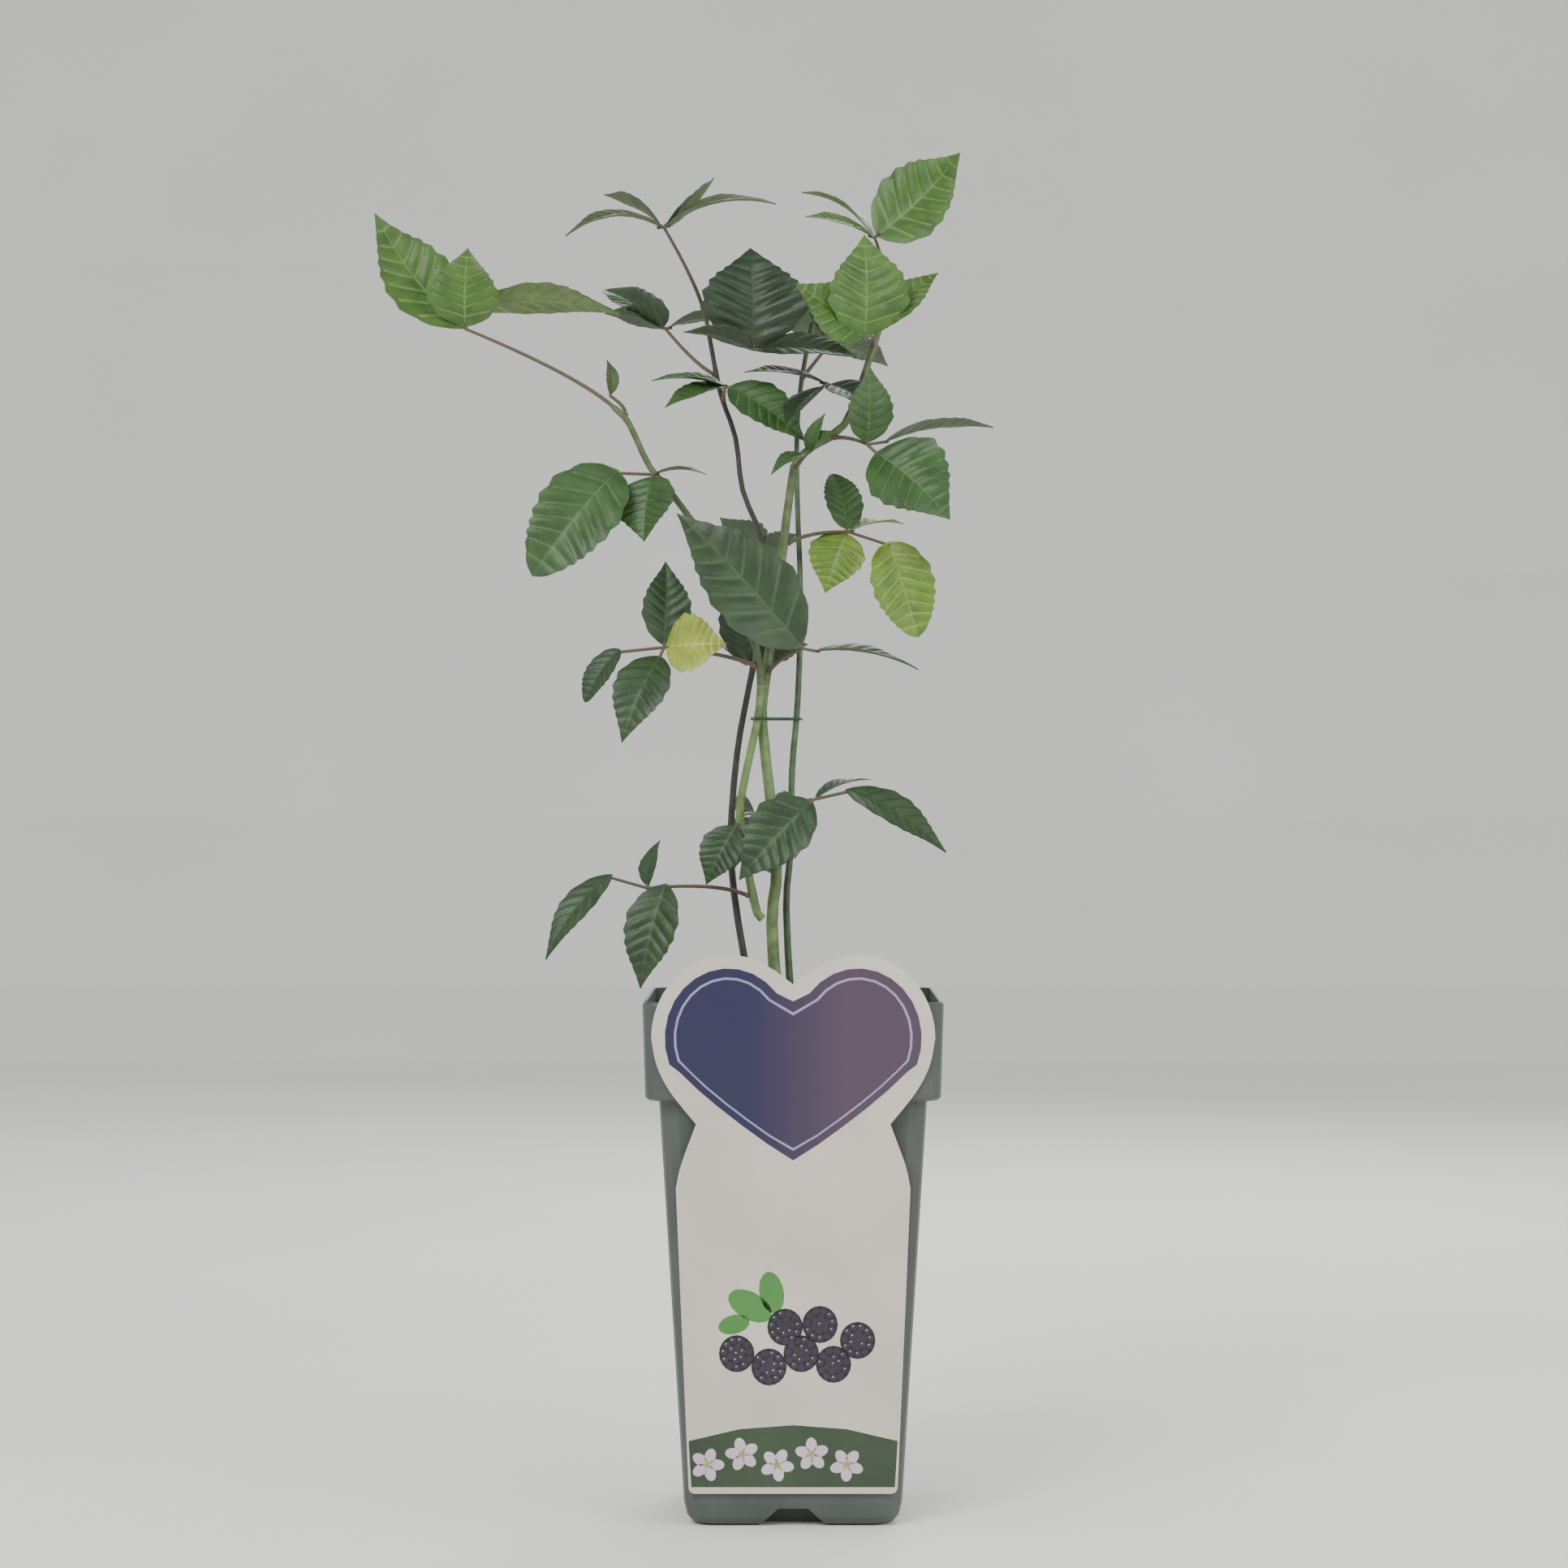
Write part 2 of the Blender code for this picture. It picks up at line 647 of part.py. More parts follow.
def foot_on(limb, height, towards, own_radius, climb=0.7):
    """Where a side limb starts, just clear of the limb that carries it, and the way it sets off."""
    axis, along, radius = limb.at(height)
    if height is None:
        return axis + along * GAP, along
    out = towards - axis
    out = (out - along * out.dot(along)).normalized()
    heading = (out + along * climb).normalized()
    tilt = math.sqrt(1 - heading.dot(out) ** 2)
    return axis + out * (radius + GAP + 0.1 + own_radius * tilt), heading


def make_stems():
    """All canes and shoots. Returns them by name."""
    bark = material("green_bark", COLOURS["stem"], 0.6)
    limbs = {}
    for stem in STEMS:
        route = [placed(*place) for place in stem["route"]]
        flare = FLARE
        if stem["parent"]:
            parent, height = stem["parent"]
            foot, heading = foot_on(limbs[parent], height, route[0], stem["foot_radius"], climb=1.0)
            start = [foot]
            route.insert(0, foot + heading * 3.0)
            flare = 0.0
        else:
            route[0].z = COMPOST_TOP + GAP
            start = [route[0].copy()]
            route[0].z += 2.0
        path = start + smooth(route)
        lengths = [0.0]
        for a, b in zip(path, path[1:]):
            lengths.append(lengths[-1] + (b - a).length)
        radii = [
            stem["foot_radius"] + (stem["tip_radius"] - stem["foot_radius"]) * run / lengths[-1]
            + flare * math.exp(-run / FLARE_HEIGHT)
            for run in lengths
        ]
        for name, height, above in (
            (stem["cane"], SPLIT_HEIGHT - GAP / 2, False),
            (stem["shoot"], SPLIT_HEIGHT + GAP / 2, True),
        ):
            limbs[name] = Limb(*cut_at(path, radii, height, above))
            tube(name, limbs[name].path, limbs[name].radii, 1, bark)
    return limbs


def make_tie(limbs):
    """A wire drawn tight round three canes, like a band round rods."""
    wire = material("tie_wire", COLOURS["tie"], 0.4)
    rods = [limbs[name].at(TIE_HEIGHT) for name in ("cane_main", "cane_branch", "cane_right")]
    path = []
    for step in range(28):
        angle = 2 * math.pi * step / 28
        way = Vector((math.cos(angle), math.sin(angle), 0))
        axis, _, radius = max(rods, key=lambda rod: rod[0].dot(way) + rod[2])
        path.append(axis + way * (radius + GAP + 0.1 + TIE_WIRE))
    for place in path:
        place.z = TIE_HEIGHT
    obj = tube("tie", path, [TIE_WIRE] * len(path), 0, wire)
    obj.data.splines[0].use_cyclic_u = True


def half_width(t, blunt):
    """A blade's half width along its length, as a share of its widest."""
    if blunt:
        return math.sin(math.pi * t ** 0.85) ** 0.6
    return math.sin(math.pi * t ** 0.76) ** 0.95 * (1 - 0.25 * max(0.0, t - 0.7) / 0.3)


def blade_frame(midrib, facing):
    """The way the upper face looks and the way across the blade, for a midrib direction."""
    front = Vector((0, -1, 0))
    front = (front - midrib * front.dot(midrib)).normalized()
    side = midrib.cross(front)
    if side.z < -0.05:
        side = -side
    turn = math.radians(facing)
    face = (front * math.cos(turn) + side * math.sin(turn)).normalized()
    return face, midrib.cross(face)


def make_blade(name, base, tip, leaf, rng):
    """One leaflet's blade: folded along its midrib, arched, with a toothed edge."""
    chord = tip - base
    length = chord.length
    midrib = chord / length
    face, across = blade_frame(midrib, leaf["facing"])
    thick = max(BLADE_THICKNESS * length, BLADE_THINNEST) / 2
    start = base - midrib * ROOT_SUNK
    rings = []
    for station in range(BLADE_STATIONS):
        t = station / BLADE_STATIONS
        middle = start + (tip - start) * t + face * (4 * leaf["arch"] * t * (1 - t))
        tooth = 1 + (TOOTH if station % 2 else -TOOTH) + rng.uniform(-0.02, 0.02)
        wing = max(leaf["width"] / 2 * half_width(t, leaf["blunt"]) * tooth, 0.45)
        lift = face * (BLADE_FOLD * wing)
        rings.append([middle + across * wing + lift, middle + face * thick,
                      middle - across * wing + lift, middle - face * thick])
    rings.append([tip])
    return mesh_object(name, loft(rings))


def petiole_path(foot, heading, joint):
    """A leaf stalk that leaves its stem one way and bends over to the joint."""
    reach = (joint - foot).length
    bend = foot + heading * min(3.0 + 0.25 * reach, 0.5 * reach)
    curve = []
    for step in range(7):
        t = step / 6
        curve.append(foot * (1 - t) ** 2 + bend * (2 * t * (1 - t)) + joint * t * t)
    return curve


def make_leaf(name, leaf, limbs, finish, rng):
    """A compound leaf: stalk, side stalks and blades, joined into one solid."""
    joint = placed(*leaf["joint"])
    foot, heading = foot_on(limbs[leaf["stem"]], leaf["foot"], joint, PETIOLE_RADIUS)
    path = petiole_path(foot, heading, joint)
    taper = [PETIOLE_RADIUS + (STALK_RADIUS - PETIOLE_RADIUS) * i / (len(path) - 1) for i in range(len(path))]
    whole = to_mesh_object(tube(name, path, taper, 0, None))
    knuckle = bmesh.new()
    bmesh.ops.create_icosphere(knuckle, subdivisions=1, radius=KNUCKLE_RADIUS)
    bmesh.ops.translate(knuckle, vec=joint, verts=knuckle.verts)
    others = [mesh_object(f"{name}_knuckle", knuckle)]
    across, up, back = leaf["joint"]
    for number, row in enumerate(leaf["leaflets"]):
        turn = math.radians(row["turn"])
        stalk_turn = turn if row["stalk_turn"] is None else math.radians(row["stalk_turn"])
        length_share = row["stalk"] / (row["stalk"] + row["length"])
        base = placed(
            across + row["stalk"] * math.cos(stalk_turn),
            up + row["stalk"] * math.sin(stalk_turn),
            back + row["back"] * length_share,
        )
        from_joint = 0.0 if row["stalk_turn"] is None else 1.0
        tip = placed(
            across + row["length"] * math.cos(turn) + from_joint * row["stalk"] * math.cos(stalk_turn),
            up + row["length"] * math.sin(turn) + from_joint * row["stalk"] * math.sin(stalk_turn),
            back + row["back"],
        )
        begin = joint - (base - joint).normalized() * 0.3
        end = base + (tip - base).normalized() * 0.4
        others.append(to_mesh_object(tube(f"{name}_stalk_{number}", [begin, base, end], [STALK_RADIUS] * 3, 0, None)))
        others.append(make_blade(f"{name}_blade_{number}", base, tip, row, rng))
    join(whole, others, "UNION")
    whole.data.materials.clear()
    whole.data.materials.append(finish)
    return whole


def main():
    clear_scene()
    make_pot()
    make_compost()
    make_card()
    limbs = make_stems()
    make_tie(limbs)
    green = material("leaf_green", COLOURS["leaf"], 0.55)
    rng = random.Random(SEED)
    for name, leaf in LEAVES.items():
        make_leaf(name, leaf, limbs, green, rng)


main()
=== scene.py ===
"""The looks of a young thornless bramble in a tall square nursery pot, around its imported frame.

The stems and compound leaves grow again here by the rule and sizes of the solids, with veins,
toothed edges and round stalks. Sizes are in millimetres and each mesh is made in metres. Z is up,
the front faces -Y, and the origin is the centre of the flat under the pot.
"""

import json
import math
import random

import bmesh
import bpy
from mathutils import Matrix, Vector, noise

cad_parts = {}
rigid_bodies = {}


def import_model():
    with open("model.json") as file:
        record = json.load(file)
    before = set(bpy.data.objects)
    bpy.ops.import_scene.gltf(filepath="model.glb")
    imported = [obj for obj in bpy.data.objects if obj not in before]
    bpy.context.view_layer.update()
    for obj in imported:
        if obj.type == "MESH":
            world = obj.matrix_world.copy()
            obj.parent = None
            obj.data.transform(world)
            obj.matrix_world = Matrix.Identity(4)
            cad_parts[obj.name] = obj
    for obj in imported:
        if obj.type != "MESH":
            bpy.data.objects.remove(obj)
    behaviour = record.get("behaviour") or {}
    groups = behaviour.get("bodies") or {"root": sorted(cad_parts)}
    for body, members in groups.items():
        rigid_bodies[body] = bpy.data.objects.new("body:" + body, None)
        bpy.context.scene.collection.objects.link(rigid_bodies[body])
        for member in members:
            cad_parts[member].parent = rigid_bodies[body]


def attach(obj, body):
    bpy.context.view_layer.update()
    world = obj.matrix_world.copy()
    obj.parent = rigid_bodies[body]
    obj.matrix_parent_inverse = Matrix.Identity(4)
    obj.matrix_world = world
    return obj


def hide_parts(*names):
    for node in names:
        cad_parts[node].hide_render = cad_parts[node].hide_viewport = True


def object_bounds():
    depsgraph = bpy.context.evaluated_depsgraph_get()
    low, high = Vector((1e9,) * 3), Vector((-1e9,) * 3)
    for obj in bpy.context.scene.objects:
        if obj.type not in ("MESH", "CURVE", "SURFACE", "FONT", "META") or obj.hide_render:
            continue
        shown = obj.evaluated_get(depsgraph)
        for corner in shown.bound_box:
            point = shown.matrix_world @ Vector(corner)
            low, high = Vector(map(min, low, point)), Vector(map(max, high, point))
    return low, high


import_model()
cad_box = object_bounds()

MM = 0.001
GAP = 0.3  # clear distance between pieces that touch
SEED = 7
SHARP_ANGLE = math.radians(50)  # edges that bend by more than this are drawn sharp

# Places on the plant are given as they look to an eye in front of the pot.
EYE_DISTANCE = 1500.0
EYE_HEIGHT = 278.0
EYE_ACROSS = -3.4
LENS = 89.6
SENSOR_WIDTH = 36.0

# The stage: a floor that starts to rise some way behind the pot, and disk lights.
FLOOR_HALF = 6000
FLOOR_ROWS = 40
BACKDROP_START = 2400.0
BACKDROP_BEND = 1500.0
LIGHT_AIM = (0, 0, 260)
LIGHTS = {  # the place, the size and the power in watts
    "key": ((-700, -1300, 1300), 900, 22),
    "fill": ((1100, -900, 700), 1100, 9),
    "back": ((300, 1300, 1100), 900, 12),
}
SKY_STRENGTH = 0.8

# A surface's colour drifts between two levels of a soft noise, over the bump of a finer one. Its
# first colour is darkened by a share. A second one that isn't given is the first, lightened by
# LIGHTER times that share.
DRIFT_START = 0.35
DRIFT_END = 0.68
LIGHTER = 2.5
CLOUD_DETAIL = 4.0
GRAIN_DETAIL = 3.0
GRAIN_SHARE = 4  # a spot is this many times as wide as a grain, where no size is given
BUMP_DEPTH = 0.2

POT_HEIGHT = 197.0
POT_WALL = 1.6
COLLAR_BOTTOM = 160.5
COLLAR_HALF = 55.0

COMPOST_TOP = 180.0
COMPOST_HALF = 52.4
COMPOST_DEEP = 11.0
COMPOST_CELLS = 70
CRUMB_HEIGHT = 1.6  # how far the crumbs stand over and under the level
CRUMB_SIZE = 3.0
FINE_HEIGHT = 0.6  # of a crumb's height, the height of the finer crumbs on it
FINE_SIZE = 0.4
SAG = 2.5  # how far the level drops at the wall
SAG_POWER = 8  # the higher, the nearer to the wall the drop starts
CORNER_START = 0.7  # of the half width, where the block's corners start to draw in
CORNER_DRAW = 0.035

# The card. NOTCH_SIDE, FLANK, SHOULDER and HEM are (across, up) places on its right half.
CARD_THICKNESS = 0.7
CARD_LEAN = math.radians(5.0)
CARD_NOTCH = 204.0
CARD_TOP = 215.0
HEART_HALF = 52.5
HEART_WIDEST = 184.0
HEART_TIP = 133.0
LOBE_CENTRE = 24.0
NOTCH_SIDE = (6.5, 209)
LOBE_ANGLES = range(120, -8, -8)  # from the notch round to the heart's widest, in degrees
FLANK = ((50.5, 174), (45.5, 164), (36, 152))
SHOULDER = ((36, 152), (41.5, 137), (43.5, 128))
HEM = ((39, 15), (38.3, 13.6), (37, 13))
CURVE_STEPS = 4
HOOK_HALF = 11.0
HOOK_DROP = 12.0
HOOK_THICKNESS = 0.8

# The print on the card. Each layer stands a little over the one below.
INK = 0.05
HEART_INSETS = (5.0, 8.3, 9.2)  # the violet heart, its pale line and the field inside the line
NOTCH_INSET = 1.25  # how far the notch draws in, of the inset
TIP_INSET = 1.1  # how far the heart's tip does
PRINT_LOBE_START = 140
PRINT_LOBE_TURN = 13.5
PRINT_LOBE_POINTS = 13
SIDE_TOP = 178.0  # the height where the printed heart's side leaves the lobe
SIDE_NARROWER = 0.5
SIDE_STEPS = 6
SIDE_BULGE = 1.25
BAND = ((-38, 15.5), (38, 15.5), (39, 33), (20, 37.5), (0, 39), (-20, 37.5), (-39, 33))
SPRIG = (  # each leaf as an oval: its middle, its half sizes and its turn
    (-16, 84, 9, 5.2, 150),
    (-8, 89, 8, 4.6, 100),
    (-22, 77, 6, 3.6, 195),
)
BERRIES = ((-21, 66), (-9, 61), (3, 66), (15, 62), (24, 71), (-3, 76), (10, 77))
BERRY_HALF = 6.6
BERRY_TALL = 1.06  # a berry's height for its width
DRUPELET_RINGS = ((0, 1), (0.36, 6), (0.74, 11))  # the ring's size in the berry, and its count
DRUPELET_HALF = 1.35
GLINT_CHANCE = 0.5
GLINT_OFFSET = (-0.3, 0.4)
GLINT_HALVES = (0.35, 0.3)
FLOWERS = ((-32, 24), (-19, 28), (-6, 24), (7, 28), (20, 24))
FLOWER_TURN = 31
PETALS = 5
PETAL_OUT = 3.4
PETAL_HALVES = (3.0, 2.1)
STAMENS_HALF = 1.2

# Canes and shoots.
SPLIT_HEIGHT = 316.0  # above the tie a cane goes on as a shoot
FLARE = 0.8
FLARE_HEIGHT = 6.0
FOOT_STRAIGHT = 2.0
BRANCH_STRAIGHT = 3.0
BRANCH_CLIMB = 1.0  # how far a branch sets off along its carrier, for each millimetre outwards
STALK_CLIMB = 0.7  # the same for a leaf's stalk
FOOT_CLEAR = 0.1  # more than the gap, because the carrier tapers
STEM_SIDES = 20
STEM_RIBS = 5
RIB = 0.05  # how far the ribs of a cane stand out, of its radius
BARK_STEP = 1.6
BARK_SHARE = 0.96  # of the solid's radius
BARK_TIP_SHARE = 0.97  # the same at the bark's end
NODE_SWELL = 0.11  # how much thicker a cane is where a leaf leaves it
NODE_REACH = 2.5

# Leaf stalks.
PETIOLE_RADIUS = 0.85
PETIOLE_BASE = 1.35  # of that radius, the swollen base of the stalk
PETIOLE_SUNK = 0.9  # how far inside the bark it starts
PETIOLE_STEPS = 14
PETIOLE_SIDES = 10
BEND_START = 3.0  # a stalk keeps its heading this far and a share of its reach more
BEND_SHARE = 0.25
BEND_MOST = 0.5  # of its reach, but no further than this
STALK_RADIUS = 0.6
STALK_SHORT = 2.2
STALK_SIDES = 8
STALK_OVERLAP = 0.3  # how far a leaflet's own stalk reaches back past the joint
TIP_BALL = 1.02  # a rounded tip's radius, of its limb's

# Leaf blades.
LAMINA, VEIN, UNDERSIDE = range(3)  # a tone's materials
ROOT_SUNK = 1.6
BLADE_THICKNESS = 0.011  # of the blade's length
BLADE_THINNEST = 0.3
BLADE_FOLD = 0.22  # how far the wings rise for each millimetre of half width
BLUNT_POWERS = (0.85, 0.6)  # the outline is the sine of a power of the place, to a power
POINTED_POWERS = (0.76, 0.95)
POINT_START = 0.7  # a pointed blade narrows more from here
POINT_NARROWER = 0.25
WING_LEAST = 0.2
UPWARD_LEAST = -0.05  # where the way across looks lower than this, it is turned round
UNDER_LIMIT = -0.1  # a face that looks this far away from the upper side is the underside
VEIN_PAIRS = 8
VEIN_ROWS = 5  # rows of faces from one side vein to the next, the first of them the vein
VEIN_SHARE = 0.16  # of that distance, the width of the vein's row
VEIN_SLANT = 0.34  # how far along the blade a side vein climbs on its way out
COLUMNS = (-1, -0.86, -0.66, -0.44, -0.22, -0.028, 0.028, 0.22, 0.44, 0.66, 0.86, 1)
MIDRIB_COLUMN = 5
PLEAT = 0.075  # how far the blade rises between its side veins, of its half width
PLEAT_END = 0.97  # of the half width, where the pleats stop falling towards the edge
PLEAT_POWER = 0.7
WAVE = 0.05  # how far the edge waves, of the half width
WAVE_TURN = 9  # how far the wave turns from the base to the tip, in radians
WAVE_SHIFT = 2  # how far one edge is ahead of the other
TOOTH = 0.085  # of the half width
TOOTH_PEAK = 0.55  # of the way from one side vein to the next
TOOTH_FALL = 1.3  # how steeply a tooth falls, against how it rises
TOOTH_LEVEL = 0.6


def placed(across, up, back):
    """The point in space of a place seen from the front, pushed back along the line of sight."""
    scale = (EYE_DISTANCE + back) / EYE_DISTANCE
    x = EYE_ACROSS + (across - EYE_ACROSS) * scale
    return Vector((x, back, EYE_HEIGHT + (up - EYE_HEIGHT) * scale))


def leaflet(turn, length, width, back=0, facing=30, stalk=STALK_SHORT, stalk_turn=None, arch=2,
            blunt=False):
    """One leaflet. turn is its angle seen from the front, 0 to the right and 90 up, and back is how
    far its tip lies behind the joint. facing 0 looks to the front, 90 up and 180 to the back, and
    arch lifts the middle of the midrib."""
    return dict(locals())


# Each stem: a cane below the tie, the shoot that goes on above it, its radii at foot and tip, and
# the places that it runs through as (across, up, back).
STEMS = [
    dict(
        cane="cane_main", shoot="shoot_right", parent=None, foot_radius=2.5, tip_radius=1.3,
        route=[(-5, COMPOST_TOP + GAP, 0), (-8, 224, 0), (-6.2, 249, 0), (-11.5, 299, 0.8),
               (-10.6, 317, 1), (-5.3, 355, -1), (-1.2, 389, -3), (3, 404, -3), (19.7, 416, 0),
               (29, 440, 5), (35.3, 460, 8)],
    ),
    dict(
        cane="cane_left", shoot="shoot_centre", parent=None, foot_radius=1.5, tip_radius=0.9,
        route=[(-13, COMPOST_TOP + GAP, 6), (-21, 225, 5), (-23.8, 255, 5), (-21.5, 289, 4),
               (-16.5, 317, 4), (-10, 350, 8), (-12, 372, 10), (-19.3, 391, 10), (-22, 411, 10),
               (-28, 429, 9), (-32.8, 454, 8)],
    ),
    dict(
        cane="cane_right", shoot="shoot_back", parent=None, foot_radius=1.5, tip_radius=0.9,
        route=[(0, COMPOST_TOP + GAP, 7), (-2.5, 230, 5), (-0.9, 252, 4), (-0.3, 283, 2),
               (1.9, 310, 1), (3, 349, 6), (1.6, 392, 9), (2.2, 424, 9), (7.2, 455, 10)],
    ),
    dict(
        cane="cane_branch", shoot="shoot_left", parent=("cane_main", 226), foot_radius=1.7,
        tip_radius=1.2,
        route=[(-16.2, 239.5, -2), (-20.3, 265, -3.5), (-17.8, 283, -4), (-12.8, 308, -4.4),
               (-14, 330, -9), (-26, 360, -12), (-46, 389, -11), (-55, 400, -10),
               (-63, 416.7, -9), (-68.6, 422.6, -8)],
    ),
]

# Each compound leaf: the stem that carries it, the height of its foot there (None at the stem's
# tip), the place where its leaflets meet, and its leaflets.
LEAVES = {
    "leaf_far_left": dict(
        stem="shoot_left", foot=None, joint=(-126, 453, -4),
        leaflets=[
            leaflet(128, 56, 30, back=6, facing=28, arch=-7),
            leaflet(88, 31, 28, back=-7, facing=10),
            leaflet(358, 55, 17, back=2, facing=125, stalk=9, stalk_turn=60, arch=5),
        ],
    ),
    "leaf_upper_left": dict(
        stem="shoot_centre", foot=437, joint=(-49, 453, 22),
        leaflets=[
            leaflet(148, 28, 22, back=12, facing=55, blunt=True),
            leaflet(166, 24, 15, back=-6, facing=118),
            leaflet(8, 22, 14, back=20, facing=100),
        ],
    ),
    "leaf_top": dict(
        stem="shoot_centre", foot=None, joint=(-49.6, 492, -12),
        leaflets=[
            leaflet(185, 38, 16, back=-12, facing=72, arch=6),
            leaflet(151, 26, 13, back=26, facing=100, arch=2),
            leaflet(45, 27, 13, back=24, facing=100, arch=-2),
            leaflet(12, 44, 16, back=-8, facing=75, arch=5),
        ],
    ),
    "leaf_crown": dict(
        stem="shoot_back", foot=446, joint=(-15, 445, -4),
        leaflets=[
            leaflet(92, 39, 41, back=6, facing=8, arch=3),
            leaflet(356, 40, 20, back=-14, facing=60),
            leaflet(166, 28, 17, back=-8, facing=105),
        ],
    ),
    "leaf_under_crown": dict(
        stem="shoot_back", foot=424, joint=(13, 432, 0),
        leaflets=[
            leaflet(226, 23, 15, back=-25, facing=60),
            leaflet(330, 24, 18, back=-16, facing=50),
            leaflet(172, 32, 14, back=-10, facing=75),
        ],
    ),
    "leaf_centre": dict(
        stem="shoot_centre", foot=427, joint=(-25.5, 431, -2),
        leaflets=[
            leaflet(176, 29, 13, back=-5, facing=75),
            leaflet(199, 25, 13, back=-15, facing=58),
            leaflet(325, 37, 20, back=-8, facing=32, arch=3),
        ],
    ),
    "leaf_top_right": dict(
        stem="shoot_right", foot=None, joint=(31.5, 488, 4),
        leaflets=[
            leaflet(45, 46, 31, back=-10, facing=22, arch=-4),
            leaflet(148, 33, 12, back=24, facing=82, arch=4),
            leaflet(163, 28, 13, back=-14, facing=68),
        ],
    ),
    "leaf_right_upper": dict(
        stem="shoot_right", foot=447, joint=(27.5, 449, -10),
        leaflets=[
            leaflet(90, 40, 32, back=-4, facing=16, arch=3),
            leaflet(141, 34, 22, back=-12, facing=22),
            leaflet(42, 38, 15, back=10, facing=30, stalk=7),
        ],
    ),
    "leaf_right": dict(
        stem="shoot_right", foot=412, joint=(28.5, 408.5, -12),
        leaflets=[
            leaflet(88, 30, 18, back=-7, facing=14),
            leaflet(318, 43, 33, back=-12, facing=18, stalk=6, arch=4),
            leaflet(8, 49, 16, back=14, facing=98, stalk=8, arch=3),
        ],
    ),
    "leaf_tip_buds": dict(
        stem="shoot_right", foot=400, joint=(5.5, 405, -13),
        leaflets=[
            leaflet(210, 16, 9, back=-3, facing=58),
            leaflet(66, 17, 6, back=-5, facing=25),
            leaflet(38, 14, 7, back=-8, facing=60),
        ],
    ),
    "leaf_light": dict(
        stem="shoot_right", foot=371, joint=(21, 375, 6),
        leaflets=[
            leaflet(104, 23, 16, back=8, facing=26, blunt=True),
            leaflet(250, 25, 22, back=-5, facing=12),
            leaflet(8, 22, 13, back=10, facing=80),
            leaflet(287, 37, 24, back=-6, facing=8, stalk=17, stalk_turn=342, blunt=True),
        ],
    ),
    "leaf_left": dict(
        stem="shoot_left", foot=393, joint=(-54, 397, -19),
        leaflets=[
            leaflet(231, 51, 31, back=-14, facing=12, stalk=14, stalk_turn=178, arch=5, blunt=True),
            leaflet(263, 26, 26, back=-10, facing=28),
            leaflet(0, 21, 11, back=-3, facing=84),
        ],
    ),
    "leaf_front": dict(
        stem="shoot_right", foot=322, joint=(4, 330, -27),
        leaflets=[
            leaflet(133, 71, 33, back=-4, facing=12, arch=5),
            leaflet(350, 45, 14, back=6, facing=80, stalk=6, arch=3),
        ],
    ),
    "leaf_yellow": dict(
        stem="shoot_left", foot=324, joint=(-49.5, 330.5, -22),
        leaflets=[
            leaflet(89, 33, 19, back=4, facing=14),
            leaflet(3, 24, 23, back=-8, facing=16),
            leaflet(246, 40, 21, back=-14, facing=18, stalk=5, arch=4),
            leaflet(237, 23, 12, back=-4, facing=38, stalk=18, stalk_turn=186, blunt=True),
        ],
    ),
    "leaf_dark": dict(
        stem="shoot_centre", foot=323, joint=(-18, 324, 18),
        leaflets=[
            leaflet(98, 34, 18, back=5, facing=8),
            leaflet(18, 25, 15, back=8, facing=40),
            leaflet(150, 16, 11, back=16, facing=70),
        ],
    ),
    "leaf_low_right": dict(
        stem="cane_right", foot=268, joint=(8, 272, -17),
        leaflets=[
            leaflet(227, 42, 25, back=-4, facing=18, arch=3),
            leaflet(20, 23, 12, back=8, facing=80),
            leaflet(328, 44, 15, back=-14, facing=42, stalk=14, stalk_turn=13, arch=4),
        ],
    ),
    "leaf_low_centre": dict(
        stem="cane_branch", foot=262, joint=(-21.5, 262.5, -9.5),
        leaflets=[
            leaflet(243, 26, 17, back=-1, facing=20),
            leaflet(306, 24, 13, back=-2, facing=10),
        ],
    ),
    "leaf_low_left": dict(
        stem="cane_branch", foot=236, joint=(-56, 238, -14),
        leaflets=[
            leaflet(232, 40, 14, back=-14, facing=42, stalk=15, stalk_turn=164, arch=4),
            leaflet(75, 19, 9, back=8, facing=48),
            leaflet(256, 40, 21, back=-6, facing=18, stalk=7, stalk_turn=2, arch=4),
        ],
    ),
    "leaf_bud_left": dict(
        stem="shoot_left", foot=419, joint=(-70, 427, -4),
        leaflets=[leaflet(96, 14, 6, back=2, facing=40)],
    ),
    "leaf_back_high": dict(
        stem="shoot_back", foot=436, joint=(14, 447, 36),
        leaflets=[
            leaflet(76, 28, 22, back=24, facing=150, arch=3),
            leaflet(152, 25, 15, back=22, facing=130),
            leaflet(340, 24, 16, back=24, facing=120),
        ],
    ),
    "leaf_back_mid": dict(
        stem="shoot_centre", foot=352, joint=(-15, 360, 38),
        leaflets=[
            leaflet(122, 24, 24, back=30, facing=150, arch=3),
            leaflet(40, 22, 15, back=26, facing=130),
            leaflet(290, 22, 16, back=26, facing=160),
        ],
    ),
    "leaf_back_low": dict(
        stem="cane_left", foot=262, joint=(-13, 266, 36),
        leaflets=[
            leaflet(245, 22, 17, back=28, facing=160, arch=3),
            leaflet(15, 18, 13, back=26, facing=130),
            leaflet(165, 12, 12, back=24, facing=130),
        ],
    ),
}

